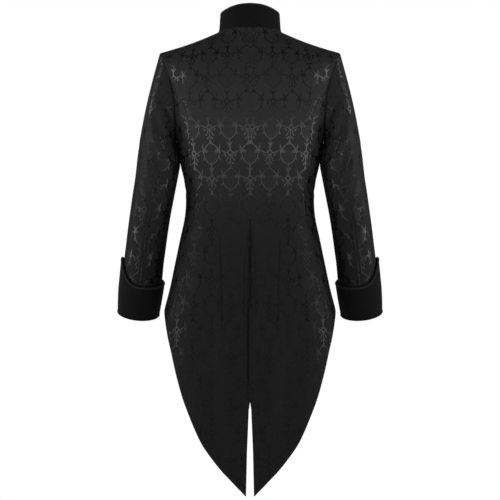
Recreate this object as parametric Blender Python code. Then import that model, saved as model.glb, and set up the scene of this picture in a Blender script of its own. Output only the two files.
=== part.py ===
"""Damask tailcoat with a velvet stand collar and turned-back velvet cuffs, filled out as if worn.

Metres, +Z up. The origin is the nape, at the collar seam. The back faces +Y, the wearer's left is +X.
Angles round the body run from the centre back (0) past the side (90) to the centre front (180).
"""

import math

import bpy
import numpy as np

for old in list(bpy.data.objects):
    bpy.data.objects.remove(old, do_unlink=True)

CLOTH = 0.0020
VELVET = 0.0026
SEAM_HALF = 0.00017
ARM_Z = -0.1625
ARM_Y = -0.0030
ARM_HALF_Y = 0.0630
ARM_TOP = -0.0550
ARM_BOTTOM = -0.2750
SHOULDER = (0.2250, -0.0040, -0.0550)
SHOULDER_SAG = 0.0038
ROWS_Z = -0.3100
UNDERARM_SEAM_Z = -0.2450
NECK_HALF = 0.0775
NECK_Y = -0.0150
NECK_DEPTH = 0.0700
VENT_TOP = -0.6400
LAP = 0.0125
COLLAR_GAP = 0.0004
BUTTON_RADIUS = 0.0090
BUTTON_HEIGHT = 0.0042
BUTTON_TOP_Z = -0.1720
BUTTON_STEP = 0.0520
BUTTONS = 6

SECTIONS = {
    "z": (-1.200, -1.000, -0.800, -0.7025, -0.6425, -0.5825, -0.5225, -0.4625, -0.4175, -0.3725, -0.3425, -0.2800, -0.2200, -0.1625),
    "half_width": (0.2360, 0.2330, 0.2260, 0.2150, 0.2000, 0.1875, 0.1750, 0.1625, 0.1600, 0.1648, 0.1720, 0.1830, 0.1960, 0.2060),
    "back": (0.1320, 0.1340, 0.1330, 0.1290, 0.1240, 0.1150, 0.1040, 0.0940, 0.0910, 0.0950, 0.1000, 0.1100, 0.1160, 0.1160),
    "front": (0.1150, 0.1150, 0.1150, 0.1140, 0.1130, 0.1110, 0.1090, 0.1080, 0.1100, 0.1170, 0.1220, 0.1280, 0.1250, 0.1140),
    "roundness": (2.20, 2.20, 2.20, 2.20, 2.25, 2.30, 2.30, 2.30, 2.30, 2.30, 2.35, 2.40, 2.45, 2.50),
}
HEM = {
    "angle": (-6.0, 0.0, 2.3, 4.9, 8.4, 11.7, 15.2, 18.4, 24.1, 29.2, 33.1, 36.6, 40.1, 43.6, 46.9, 50.4, 53.9, 58.0, 63.7, 74.0, 84.7, 92.0, 110.0, 135.0, 160.0, 180.0, 190.0),
    "z": (-1.118, -1.138, -1.1395, -1.1294, -1.1151, -1.101, -1.0869, -1.0728, -1.0445, -1.0161, -0.9876, -0.9591, -0.9307, -0.9024,
          -0.874, -0.8455, -0.817, -0.7884, -0.7599, -0.7318, -0.7032, -0.686, -0.645, -0.570, -0.505, -0.470, -0.470),
}
SIDE_BACK_SEAM = {
    "z": (-1.150, -0.820, -0.640, -0.500, -0.4175, -0.300, -0.250, -0.205, -0.185, -0.172, -0.1625),
    "angle": (57.0, 57.0, 57.0, 57.0, 55.5, 50.5, 48.0, 47.6, 49.5, 53.5, 59.9),
}
SIDE_FRONT_SEAM = {
    "z": (-0.900, -0.640, -0.4175, -0.2450),
    "angle": (108.0, 108.5, 110.0, 111.5),
}
NECKLINE = {
    "angle": (0.0, 45.0, 90.0, 120.0, 150.0, 180.0, 195.0),
    "z": (0.0, 0.0002, -0.0012, -0.0130, -0.0440, -0.0680, -0.0660),
}
COLLAR = {
    "angle": (0.0, 20.0, 42.0, 66.0, 90.0, 140.0, 180.0),
    "height": (0.0616, 0.0598, 0.0545, 0.0475, 0.0445, 0.0410, 0.0380),
    "lean": (-0.0060, -0.0062, -0.0065, -0.0068, -0.0070, -0.0060, -0.0050),
}
VENT_EDGES = {
    "z": (-1.150, -1.030, -0.930, -0.880, -0.712, -0.680, -0.640),
    "over": (-0.0100, -0.0072, -0.0030, 0.0040, 0.0040, -0.0002, -0.0002),
    "under": (0.0100, 0.0072, 0.0030, -0.0060, -0.0060, 0.0002, 0.0002),
    "inset": (0.0, 0.0, 0.0029, 0.0030, 0.0030, 0.0030, 0.0),
}
BODY_FOLDS = {
    "name": ("centre hollow", "waist hollow", "tail flute in", "tail flute out", "side flute in", "waist break"),
    "angle": (0.0, 0.0, 22.0, 40.0, 74.0, 66.0),
    "half_angle": (6.0, 5.0, 12.0, 12.0, 13.0, 14.0),
    "z": (-0.690, -0.540, -0.900, -0.900, -0.690, -0.410),
    "half_z": (0.250, 0.090, 0.330, 0.330, 0.200, 0.060),
    "slant": (0.0, 0.0, 20.0, 14.0, 10.0, -60.0),
    "depth": (-0.0055, -0.0020, -0.0040, 0.0030, -0.0045, -0.0025),
}
SLEEVE = {
    "z": (-0.335, -0.375, -0.415, -0.455, -0.495, -0.535, -0.575, -0.615, -0.655, -0.7090),
    "x": (0.2282, 0.2342, 0.2412, 0.2481, 0.2544, 0.2602, 0.2662, 0.2716, 0.2772, 0.2836),
    "y": (0.0080, 0.0095, 0.0090, 0.0060, 0.0010, -0.0070, -0.0170, -0.0285, -0.0400, -0.0560),
    "half_width": (0.0538, 0.0522, 0.0514, 0.0505, 0.0502, 0.0500, 0.0500, 0.0508, 0.0512, 0.0500),
    "half_depth": (0.0730, 0.0705, 0.0680, 0.0655, 0.0635, 0.0610, 0.0590, 0.0575, 0.0560, 0.0545),
    "lean_forward": (-3.0, 0.0, 2.0, 5.0, 8.0, 11.0, 13.0, 14.5, 15.5, 16.0),
    "lean_out": (8.0, 8.5, 9.0, 9.0, 8.5, 8.0, 7.5, 7.0, 7.0, 7.0),
}
SLEEVE_FOLDS = {
    "name": ("cap dent", "drag one", "drag ridge", "drag two", "inner hollow", "inner swell", "elbow one", "elbow two", "elbow three", "front break", "front break two"),
    "angle": (98.0, 93.0, 103.0, 100.0, 128.0, 180.0, 118.0, 96.0, 128.0, 262.0, 268.0),
    "half_angle": (40.0, 34.0, 30.0, 32.0, 26.0, 26.0, 48.0, 50.0, 40.0, 46.0, 50.0),
    "z": (-0.196, -0.258, -0.294, -0.343, -0.235, -0.288, -0.430, -0.490, -0.535, -0.440, -0.500),
    "half_z": (0.022, 0.032, 0.026, 0.030, 0.060, 0.036, 0.022, 0.026, 0.020, 0.022, 0.024),
    "slant": (-0.00110, -0.00170, -0.00170, -0.00160, 0.0, 0.0, -0.00040, 0.00040, 0.00035, 0.00030, -0.00030),
    "depth": (-0.0030, -0.0056, 0.0026, -0.0042, -0.0024, 0.0030, -0.0028, -0.0022, -0.0020, -0.0045, -0.0035),
}
CUFF = {
    "share": (0.0, 0.25, 0.5, 0.75, 1.0),
    "room": (0.0005, 0.0018, 0.0030, 0.0040, 0.0048),
}
CUFF_TOP_OUTER = -0.5725
CUFF_TOP_INNER = -0.6245
BACK_SHARES = (0.0, 0.035, 0.085, 0.16, 0.26, 0.37, 0.48, 0.57, 0.66, 0.75, 0.835, 0.92, 1.0)
BACK_NECK_ANGLES = (0.0, 7.0, 17.0, 32.0, 51.0, 71.0, 90.0)
SHOULDER_SHARES = (0.0, 0.17, 0.34, 0.51, 0.68, 0.84, 1.0)
FRONT_NECK_ANGLES = (90.0, 104.0, 120.0, 137.0, 154.0)
UPPER_STEPS = 7
MIDDLE_HEIGHTS = (-0.1625, -0.172, -0.184, -0.199, -0.218, -0.245, -0.275, -0.3100)
HEM_SHARES = (0.0, 0.055, 0.11, 0.165, 0.22, 0.28, 0.34, 0.399, 0.438, 0.50, 0.58, 0.66, 0.74, 0.82, 0.91, 1.0)
HEM_STEPS = len(HEM_SHARES) - 1
SIDE_COLUMNS = 8
CAP_STEPS = 8
CUFF_STEPS = 5
COLLAR_STEPS = 4


def curve(table, key, by):
    """A smooth curve through a table's rows, with slopes from the neighbouring rows."""
    xs = np.array(table[by], float)
    ys = np.array(table[key], float)
    order = np.argsort(xs)
    xs = xs[order]
    ys = ys[order]
    steps = np.diff(xs)
    rises = np.diff(ys) / steps
    slopes = np.empty_like(ys)
    slopes[0] = rises[0]
    slopes[-1] = rises[-1]
    slopes[1:-1] = (rises[:-1] * steps[1:] + rises[1:] * steps[:-1]) / (steps[:-1] + steps[1:])

    def value(x):
        i = int(min(max(np.searchsorted(xs, x) - 1, 0), len(xs) - 2))
        t = (x - xs[i]) / steps[i]
        if t < 0.0:
            return float(ys[0] + slopes[0] * (x - xs[0]))
        if t > 1.0:
            return float(ys[-1] + slopes[-1] * (x - xs[-1]))
        a = (1 + 2 * t) * (1 - t) ** 2
        b = t * (1 - t) ** 2
        c = t * t * (3 - 2 * t)
        d = t * t * (t - 1)
        return float(a * ys[i] + b * steps[i] * slopes[i] + c * ys[i + 1] + d * steps[i] * slopes[i + 1])

    return value


def straight(table, key, by):
    """Straight lines through a table's rows, which are in rising order."""
    return lambda x: float(np.interp(x, table[by], table[key]))


HALF_WIDTH = curve(SECTIONS, "half_width", "z")
BACK_DEPTH = curve(SECTIONS, "back", "z")
FRONT_DEPTH = curve(SECTIONS, "front", "z")
ROUNDNESS = curve(SECTIONS, "roundness", "z")
HEM_Z = curve(HEM, "z", "angle")
SIDE_BACK = curve(SIDE_BACK_SEAM, "angle", "z")
SIDE_FRONT = curve(SIDE_FRONT_SEAM, "angle", "z")
NECK_Z = curve(NECKLINE, "z", "angle")
COLLAR_HEIGHT = curve(COLLAR, "height", "angle")
COLLAR_LEAN = curve(COLLAR, "lean", "angle")
VENT_OVER = straight(VENT_EDGES, "over", "z")
VENT_UNDER = straight(VENT_EDGES, "under", "z")
VENT_INSET = straight(VENT_EDGES, "inset", "z")
SLEEVE_X = curve(SLEEVE, "x", "z")
SLEEVE_Y = curve(SLEEVE, "y", "z")
SLEEVE_WIDTH = curve(SLEEVE, "half_width", "z")
SLEEVE_DEPTH = curve(SLEEVE, "half_depth", "z")
SLEEVE_FORWARD = curve(SLEEVE, "lean_forward", "z")
SLEEVE_OUT = curve(SLEEVE, "lean_out", "z")
CUFF_ROOMS = curve(CUFF, "room", "share")


def unit(v):
    v = np.asarray(v, float)
    return v / np.linalg.norm(v)


def window(x):
    """A soft hump, 1 at 0 and level with 0 at -1 and 1."""
    if abs(x) >= 1.0:
        return 0.0
    return (1 - x * x) ** 2


def ring(angle, z):
    """The plain body, before its folds."""
    n = ROUNDNESS(z)
    s = math.sin(math.radians(angle))
    c = math.cos(math.radians(angle))
    k = (abs(s) ** n + abs(c) ** n) ** (-1.0 / n)
    deep = BACK_DEPTH(z) if c > 0 else FRONT_DEPTH(z)
    return np.array((HALF_WIDTH(z) * s * k, deep * c * k, z))


def across(surface, a, b, da, db):
    """The outward normal of a surface of two numbers."""
    pa = surface(a + da, b) - surface(a - da, b)
    pb = surface(a, b + db) - surface(a, b - db)
    return unit(np.cross(pa, pb))


def body_fold(angle, z):
    total = 0.0
    for a, wa, zc, wz, slant, depth in zip(*(BODY_FOLDS[k] for k in ("angle", "half_angle", "z", "half_z", "slant", "depth"))):
        total += depth * window((z - zc) / wz) * window((abs(angle) - a - slant * (z - zc)) / wa)
    return total


def body(angle, z):
    """The body with its folds, at an angle and a height up to the armhole's middle."""
    p = ring(angle, z)
    move = body_fold(angle, z)
    if move:
        n = across(ring, angle, z, 0.5, 0.002)
        p = p - n * move if n[1] * math.cos(math.radians(angle)) < 0 else p + n * move
    return p


def body_normal(angle, z):
    n = across(body, angle, z, 0.4, 0.0015)
    out = np.array((math.sin(math.radians(angle)), math.cos(math.radians(angle)), 0.0))
    return n if np.dot(n, out) > 0 else -n


def solve(f, low, high):
    """Where a rising or falling function of one number passes 0."""
    rising = f(high) > f(low)
    for _ in range(48):
        mid = 0.5 * (low + high)
        if (f(mid) > 0) == rising:
            high = mid
        else:
            low = mid
    return 0.5 * (low + high)


def armhole_y(z, front):
    """Half an armhole's edge below its middle, where it lies on the body."""
    drop = min(1.0, (ARM_Z - z) / (ARM_Z - ARM_BOTTOM))
    reach = ARM_HALF_Y * math.sqrt(max(0.0, 1 - drop * drop))
    return ARM_Y - reach if front else ARM_Y + reach


def armhole_angle(z, front):
    want = armhole_y(z, front)
    return solve(lambda a: ring(a, z)[1] - want, 40.0, 150.0)


BACK_EDGE = armhole_angle(ARM_Z, False)
FRONT_EDGE = armhole_angle(ARM_Z, True)


def back_limit(z):
    if z >= ARM_Z:
        return BACK_EDGE
    near = max(0.0, 1 - (ARM_Z - z) / 0.012)
    return SIDE_BACK(z) + (BACK_EDGE - SIDE_BACK(ARM_Z)) * near


def front_limit(z):
    if z >= UNDERARM_SEAM_Z:
        return armhole_angle(z, True)
    return SIDE_FRONT(z) + (armhole_angle(UNDERARM_SEAM_Z, True) - SIDE_FRONT(UNDERARM_SEAM_Z))


def neck_point(angle):
    a = math.radians(angle)
    return np.array((NECK_HALF * math.sin(a), NECK_Y + NECK_DEPTH * math.cos(a), NECK_Z(180.0 - abs(180.0 - abs(angle)))))


def neck_normal(angle):
    a = math.radians(angle)
    return unit((math.sin(a) / NECK_HALF, math.cos(a) / NECK_DEPTH, 0.0))


def shoulder_point(share):
    a = neck_point(90.0)
    b = np.array(SHOULDER)
    p = a + (b - a) * share
    p[2] -= SHOULDER_SAG * math.sin(math.pi * share)
    return p


SHOULDER_NORMAL = unit((0.33, 0.0, 0.94))


def armhole_normal(p):
    """The direction that body and sleeve share at their seam, out of the cloth."""
    high = ARM_TOP - ARM_Z if p[2] > ARM_Z else ARM_Z - ARM_BOTTOM
    y = (p[1] - ARM_Y) / ARM_HALF_Y
    z = (p[2] - ARM_Z) / high
    a = math.atan2(y, z)
    return unit((0.36 * (1 + math.cos(a)), math.sin(a), math.cos(a)))


def hermite(p0, p1, t0, t1, t):
    return (1 + 2 * t) * (1 - t) ** 2 * p0 + t * (1 - t) ** 2 * t0 + t * t * (3 - 2 * t) * p1 + t * t * (t - 1) * t1


def upper_column(angle, top, share, sign, steep):
    """A column from the armhole's middle up to the neckline or the shoulder seam. steep is 1 at the centre."""
    p0 = body(angle, ARM_Z)
    t0 = (p0 - body(angle, ARM_Z - 0.004)) / 0.004
    tilt = math.radians(75.0 if sign > 0 else 62.0) * steep
    rise = top[2] - ARM_Z
    reach = abs(top[1] - p0[1])
    t0 = t0 * rise * (1.0 + 0.6 * share)
    t1 = np.array((0.0, -sign * math.cos(tilt), math.sin(tilt))) * (reach * 1.55 * (1 - steep) + rise * 0.95 * steep)
    return p0, top, t0, t1


def upper_points(columns, steps):
    rows = []
    for j in range(steps + 1):
        t = 1 - (1 - j / steps) ** 1.25
        rows.append([hermite(*c, t) for c in columns])
    return rows


def grid_normals(points, out_hint):
    """Normals of a grid of points, turned to the side of out_hint."""
    g = np.array(points)
    du = np.gradient(g, axis=1)
    dv = np.gradient(g, axis=0)
    n = np.cross(du, dv)
    n /= np.linalg.norm(n, axis=2, keepdims=True)
    flip = np.sum(n * out_hint(g), axis=2) < 0
    n[flip] *= -1
    return n


def edge_shift(points, normals, run, inside, half=SEAM_HALF):
    """Moves one edge of a panel in by half the seam's gap. run lists the edge's places, inside its neighbours."""
    moved = []
    for k, (j, i) in enumerate(run):
        a = points[run[max(k - 1, 0)]]
        b = points[run[min(k + 1, len(run) - 1)]]
        side = np.cross(normals[j, i], unit(b - a))
        side = unit(side)
        if np.dot(side, points[inside[k]] - points[j, i]) < 0:
            side = -side
        moved.append(((j, i), side * half))
    return moved


def apply_shifts(points, shifts):
    out = points.copy()
    for place, move in shifts:
        out[place] += move
    return out


def material(name, colour, rough, sheen):
    m = bpy.data.materials.new(name)
    m.use_nodes = True
    shader = m.node_tree.nodes["Principled BSDF"]
    shader.inputs["Base Color"].default_value = (*colour, 1.0)
    shader.inputs["Roughness"].default_value = rough
    shader.inputs["Sheen Weight"].default_value = sheen
    return m


def solid(name, vertices, faces, look):
    mesh = bpy.data.meshes.new(name)
    mesh.from_pydata([tuple(map(float, v)) for v in vertices], [], faces)
    mesh.validate()
    thing = bpy.data.objects.new(name, mesh)
    bpy.context.scene.collection.objects.link(thing)
    mesh.materials.append(look)
    return thing


def wall_solid(name, outer, normals, wall, look, closed=False):
    """A closed wall from a grid of outer points, as thick as wall against the normals."""
    inner = outer - normals * wall
    rows, cols = outer.shape[:2]
    vertices = list(outer.reshape(-1, 3)) + list(inner.reshape(-1, 3))
    half = rows * cols
    spans = cols if closed else cols - 1

    def at(j, i, deep):
        return j * cols + i % cols + (half if deep else 0)

    faces = []
    for j in range(rows - 1):
        for i in range(spans):
            k = (i + 1) % cols
            one = np.linalg.norm(outer[j, i] - outer[j + 1, k])
            two = np.linalg.norm(outer[j, k] - outer[j + 1, i])
            if one <= two:
                cells = (((j, i), (j, k), (j + 1, k)), ((j, i), (j + 1, k), (j + 1, i)))
            else:
                cells = (((j, i), (j, k), (j + 1, i)), ((j, k), (j + 1, k), (j + 1, i)))
            for cell in cells:
                faces.append([at(a, b, False) for a, b in cell])
                faces.append([at(a, b, True) for a, b in reversed(cell)])
    for i in range(spans):
        k = (i + 1) % cols
        for j, turn in ((0, False), (rows - 1, True)):
            quad = [at(j, i, False), at(j, i, True), at(j, k, True), at(j, k, False)]
            pair = [[quad[0], quad[1], quad[2]], [quad[0], quad[2], quad[3]]]
            faces += [t[::-1] for t in pair] if turn else pair
    if not closed:
        for j in range(rows - 1):
            for i, turn in ((0, True), (cols - 1, False)):
                quad = [at(j, i, False), at(j, i, True), at(j + 1, i, True), at(j + 1, i, False)]
                pair = [[quad[0], quad[1], quad[2]], [quad[0], quad[2], quad[3]]]
                faces += [t[::-1] for t in pair] if turn else pair
    points = np.array(vertices)
    tri = points[np.array(faces)]
    volume = np.einsum("ij,ij->i", tri[:, 0], np.cross(tri[:, 1], tri[:, 2])).sum()
    if volume < 0:
        faces = [f[::-1] for f in faces]
    return solid(name, vertices, faces, look)


def mirror(points, side):
    return points * np.array((side, 1.0, 1.0))


def back_angle(share, z, side):
    """A back column's angle at a height, with its vent edge below the vent's top."""
    limit = back_limit(z)
    if z >= VENT_TOP:
        return share * limit
    edge_x = VENT_UNDER(z) if side > 0 else -VENT_OVER(z)
    edge = math.degrees(math.asin(max(-0.4, min(0.4, edge_x / HALF_WIDTH(z)))))
    return edge + (limit - edge) * share


def hem_height(angle_at):
    return solve(lambda z: HEM_Z(angle_at(z)) - z, -1.19, -0.36)


def lower_heights(angle_at):
    low = hem_height(angle_at)
    return [ROWS_Z + (low - ROWS_Z) * share for share in HEM_SHARES[1:]]


def back_panel(side):
    tops = [neck_point(a) for a in BACK_NECK_ANGLES[:-1]] + [shoulder_point(s) for s in SHOULDER_SHARES]
    count = len(BACK_SHARES)
    neck = len(BACK_NECK_ANGLES) - 1
    columns = []
    for i, share in enumerate(BACK_SHARES):
        steep = max(0.0, 1 - (BACK_NECK_ANGLES[i] / 90.0) ** 1.5) if i < neck else 0.0
        columns.append(upper_column(share * BACK_EDGE, tops[i], share, 1, steep))
    rows = upper_points(columns, UPPER_STEPS)[:0:-1]
    normals = grid_normals(upper_points(columns, UPPER_STEPS), lambda g: np.array((0.2, 1.0, 0.6)))[:0:-1]
    normals = [list(r) for r in normals]
    rows = [list(r) for r in rows]
    for z in MIDDLE_HEIGHTS:
        rows.append([body(back_angle(s, z, side), z) for s in BACK_SHARES])
        normals.append([body_normal(back_angle(s, z, side), z) for s in BACK_SHARES])
    heights = [lower_heights(lambda z, s=s: back_angle(s, z, side)) for s in BACK_SHARES]
    for j in range(HEM_STEPS):
        line = []
        facing = []
        for i, share in enumerate(BACK_SHARES):
            z = heights[i][j]
            angle = back_angle(share, z, side)
            p = body(angle, z)
            n = body_normal(angle, z)
            if side > 0:
                p = p - n * VENT_INSET(z) * window(share / 0.3)
            line.append(p)
            facing.append(n)
        rows.append(line)
        normals.append(facing)
    points = np.array(rows)
    normals = np.array(normals)
    for i in range(count):
        if i < neck:
            normals[0, i] = neck_normal(BACK_NECK_ANGLES[i])
        else:
            normals[0, i] = SHOULDER_NORMAL
    normals[0, neck] = unit(neck_normal(90.0) + SHOULDER_NORMAL)
    for j in range(UPPER_STEPS + 1):
        normals[j, -1] = armhole_normal(points[j, -1])
    last = points.shape[0] - 1
    start = UPPER_STEPS
    shifts = []
    vent_row = max(j for j in range(last + 1) if points[j, 0][2] >= VENT_TOP)
    run = [(j, 0) for j in range(vent_row + 1)]
    shifts += edge_shift(points, normals, run, [(j, 1) for j in range(vent_row + 1)])
    run = [(0, i) for i in range(neck, count)]
    shifts += edge_shift(points, normals, run, [(1, i) for i in range(neck, count)])
    run = [(j, count - 1) for j in range(start + 1)]
    shifts += edge_shift(points, normals, run, [(j, count - 2) for j in range(start + 1)])
    run = [(j, count - 1) for j in range(start, last + 1)]
    shifts += edge_shift(points, normals, run, [(j, count - 2) for j in range(start, last + 1)])
    armhole = [points[j, -1] for j in range(start + 1)]
    return apply_shifts(points, shifts), normals, armhole


def side_panel():
    shares = [i / SIDE_COLUMNS for i in range(SIDE_COLUMNS + 1)]
    heights = MIDDLE_HEIGHTS
    upper = len(heights) - 1
    left = [(back_limit(z), z) for z in heights]
    right = [(front_limit(z), z) for z in np.linspace(UNDERARM_SEAM_Z, ROWS_Z, upper + 1)]
    top = []
    end = math.asin(min(1.0, (ARM_Z - UNDERARM_SEAM_Z) / (ARM_Z - ARM_BOTTOM)))
    for s in shares:
        a = s * (math.pi - end)
        z = ARM_Z - (ARM_Z - ARM_BOTTOM) * math.sin(a)
        want = ARM_Y + ARM_HALF_Y * math.cos(a)
        top.append((solve(lambda g: ring(g, z)[1] - want, 40.0, 150.0), z))
    bottom = [(left[-1][0] + (right[-1][0] - left[-1][0]) * s, ROWS_Z) for s in shares]
    places = []
    for j in range(upper + 1):
        v = j / upper
        line = []
        for i, u in enumerate(shares):
            spot = []
            for k in (0, 1):
                edge = (1 - v) * top[i][k] + v * bottom[i][k] + (1 - u) * left[j][k] + u * right[j][k]
                corner = (1 - u) * ((1 - v) * left[0][k] + v * left[-1][k]) + u * ((1 - v) * right[0][k] + v * right[-1][k])
                spot.append(edge - corner)
            line.append(tuple(spot))
        places.append(line)
    angle_at = [lambda z, s=s: back_limit(z) + (front_limit(z) - back_limit(z)) * s for s in shares]
    lows = [lower_heights(f) for f in angle_at]
    for j in range(HEM_STEPS):
        places.append([(angle_at[i](lows[i][j]), lows[i][j]) for i in range(len(shares))])
    points = np.array([[body(*p) for p in line] for line in places])
    normals = np.array([[body_normal(*p) for p in line] for line in places])
    for i in range(len(shares)):
        normals[0, i] = armhole_normal(points[0, i])
    last = points.shape[0] - 1
    end_col = len(shares) - 1
    shifts = edge_shift(points, normals, [(0, i) for i in range(end_col + 1)], [(1, i) for i in range(end_col + 1)])
    for i, inner in ((0, 1), (end_col, end_col - 1)):
        run = [(j, i) for j in range(last + 1)]
        shifts += edge_shift(points, normals, run, [(j, inner) for j in range(last + 1)])
    return apply_shifts(points, shifts), normals, [points[0, i] for i in range(end_col + 1)]


def front_angle(share, z):
    """A forepart column's angle. A share of 1 is where the other forepart ends, 1.5 the centre front, 2 the edge."""
    limit = front_limit(z)
    lap = math.degrees(LAP / HALF_WIDTH(z)) * 0.9
    if share > 1.0:
        return 180.0 + (share - 1.5) * 2 * lap
    return limit + (180.0 - lap - limit) * share


def lap_lift(share, side):
    """How far the left forepart lies out over the right one."""
    if side < 0:
        return 0.0
    t = min(1.0, max(0.0, (share - 0.66) / 0.30))
    return (CLOTH + 0.0009) * t * t * (3 - 2 * t)


def front_panel(side):
    lap = math.degrees(math.asin(LAP / NECK_HALF))
    neck_angles = list(FRONT_NECK_ANGLES[1:]) + [180.0 - lap, 180.0, 180.0 + lap]
    tops = [shoulder_point(s) for s in reversed(SHOULDER_SHARES)] + [neck_point(a) for a in neck_angles]
    seam = len(SHOULDER_SHARES) - 1
    count = len(tops)
    shares = [0.42 * i / seam for i in range(seam + 1)]
    shares += [0.42 + 0.58 * (a - 90.0) / (90.0 - lap) for a in neck_angles[:-2]] + [1.5, 2.0]
    columns = []
    for i, share in enumerate(shares):
        steep = 0.0
        if i > seam:
            steep = ((90.0 - abs(180.0 - neck_angles[i - seam - 1])) / 90.0) ** 0.8
        columns.append(upper_column(front_angle(share, ARM_Z), tops[i], max(0.0, 1 - share), -1, steep))
    upper = upper_points(columns, UPPER_STEPS)
    normals = [list(r) for r in grid_normals(upper, lambda g: np.array((0.2, -1.0, 0.6)))[:0:-1]]
    rows = [list(r) for r in upper[:0:-1]]
    arm_rows = (-0.1625, -0.183, -0.204, -0.225)
    seam_rows = list(np.linspace(UNDERARM_SEAM_Z, ROWS_Z, len(MIDDLE_HEIGHTS)))
    middle = list(arm_rows) + seam_rows
    for z in middle:
        rows.append([body(front_angle(s, z), z) for s in shares])
        normals.append([body_normal(front_angle(s, z), z) for s in shares])
    heights = [lower_heights(lambda z, s=s: front_angle(s, z)) for s in shares]
    for j in range(HEM_STEPS):
        rows.append([body(front_angle(s, heights[i][j]), heights[i][j]) for i, s in enumerate(shares)])
        normals.append([body_normal(front_angle(s, heights[i][j]), heights[i][j]) for i, s in enumerate(shares)])
    points = np.array(rows)
    normals = np.array(normals)
    for i in range(count):
        normals[0, i] = SHOULDER_NORMAL if i <= seam else neck_normal(neck_angles[i - seam - 1])
    normals[0, seam] = unit(neck_normal(90.0) + SHOULDER_NORMAL)
    arm_last = UPPER_STEPS + len(arm_rows)
    for j in range(arm_last + 1):
        normals[j, 0] = armhole_normal(points[j, 0])
    last = points.shape[0] - 1
    shifts = edge_shift(points, normals, [(0, i) for i in range(seam + 1)], [(1, i) for i in range(seam + 1)])
    run = [(j, 0) for j in range(arm_last + 1)]
    shifts += edge_shift(points, normals, run, [(j, 1) for j in range(arm_last + 1)])
    run = [(j, 0) for j in range(arm_last, last + 1)]
    shifts += edge_shift(points, normals, run, [(j, 1) for j in range(arm_last, last + 1)])
    armhole = [points[j, 0] for j in range(arm_last + 1)]
    points = apply_shifts(points, shifts)
    for j in range(last + 1):
        for i in range(count):
            points[j, i] += normals[j, i] * lap_lift(shares[i], side)
    return points, normals, armhole


def sleeve_frame(z):
    """A sleeve section's centre, its way out and its way back."""
    f = math.radians(SLEEVE_FORWARD(z))
    o = math.radians(SLEEVE_OUT(z))
    out = np.array((math.cos(o), 0.0, math.sin(o)))
    back = np.array((0.0, math.cos(f), -math.sin(f)))
    back = unit(back - out * np.dot(back, out))
    return np.array((SLEEVE_X(z), SLEEVE_Y(z), z)), out, back


def sleeve_fold(angle, z):
    total = 0.0
    for a, wa, zc, wz, slant, depth in zip(*(SLEEVE_FOLDS[k] for k in ("angle", "half_angle", "z", "half_z", "slant", "depth"))):
        total += depth * window((angle - a) / wa) * window((z - zc - slant * (angle - a)) / wz)
    return total


def sleeve_point(angle, z, grow=0.0):
    centre, out, back = sleeve_frame(z)
    a = math.radians(angle)
    wide = SLEEVE_WIDTH(z) + grow
    deep = SLEEVE_DEPTH(z) + grow
    return centre + out * wide * math.cos(a) + back * deep * math.sin(a)


def ring_angle(p):
    """Where a point of the armhole lies round it: 0 on top, 90 behind, 180 below."""
    high = ARM_TOP - ARM_Z if p[2] > ARM_Z else ARM_Z - ARM_BOTTOM
    return math.degrees(math.atan2((p[1] - ARM_Y) / ARM_HALF_Y, (p[2] - ARM_Z) / high)) % 360.0


def sleeve_start(angle):
    s = math.sin(math.radians(angle))
    c = math.cos(math.radians(angle))
    dx = 0.27 + 0.52 * s * s - 0.055 * (1 - c)
    dy = 0.25 * s
    return np.array((dx, dy, -math.sqrt(max(0.05, 1 - dx * dx - dy * dy))))


def sleeve_grid(armhole):
    """The outer points of a whole sleeve, from the armhole's points down to the wrist."""
    ring_points = np.array(armhole)
    count = len(ring_points)
    tangents = np.roll(ring_points, -1, axis=0) - np.roll(ring_points, 1, axis=0)
    facing = np.array([armhole_normal(p) for p in ring_points])
    angles = [ring_angle(p) for p in ring_points]
    starts = []
    for k in range(count):
        outward = unit(np.cross(facing[k], unit(tangents[k])))
        if outward[0] < 0:
            outward = -outward
        starts.append(ring_points[k] + outward * 2 * SEAM_HALF)
    top_z = SLEEVE["z"][0]
    rows = []
    for j in range(CAP_STEPS + 1):
        t = j / CAP_STEPS
        line = []
        for k in range(count):
            p1 = sleeve_point(angles[k], top_z)
            down = unit(sleeve_point(angles[k], top_z - 0.004) - p1)
            chord = np.linalg.norm(p1 - starts[k])
            line.append(hermite(starts[k], p1, sleeve_start(angles[k]) * chord, down * chord, t))
        rows.append(line)
    for z in SLEEVE_ROWS:
        rows.append([sleeve_point(a, z) for a in angles])
    points = np.array(rows)
    centre = np.array([[0.5 * (line[0] + line[count // 2])] * count for line in rows])
    normals = tube_normals(points, centre)
    for j in range(1, len(rows)):
        ease = min(1.0, j / 2.0)
        for k in range(count):
            points[j, k] += normals[j, k] * sleeve_fold(angles[k], points[j, k][2]) * ease
    normals = tube_normals(points, centre)
    normals[0] = facing
    return points, normals, angles


SLEEVE_ROWS = (-0.372, -0.405, -0.435, -0.465, -0.495, -0.525, -0.560, -0.600, -0.650, -0.7090)


def tube_normals(points, centre):
    du = np.roll(points, -1, axis=1) - np.roll(points, 1, axis=1)
    dv = np.gradient(points, axis=0)
    n = np.cross(du, dv)
    n /= np.linalg.norm(n, axis=2, keepdims=True)
    flip = np.sum(n * (points - centre), axis=2) < 0
    n[flip] *= -1
    return n


def strip_of(points, normals, first, last):
    """Columns first to last of a closed tube as an open strip, moved in by half a seam at both edges."""
    count = points.shape[1]
    picks = [(first + i) % count for i in range((last - first) % count + 1)]
    p = points[:, picks].copy()
    n = normals[:, picks].copy()
    rows = p.shape[0]
    end = len(picks) - 1
    shifts = []
    for i, inner in ((0, 1), (end, end - 1)):
        shifts += edge_shift(p, n, [(j, i) for j in range(rows)], [(j, inner) for j in range(rows)])
    return apply_shifts(p, shifts), n


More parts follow.
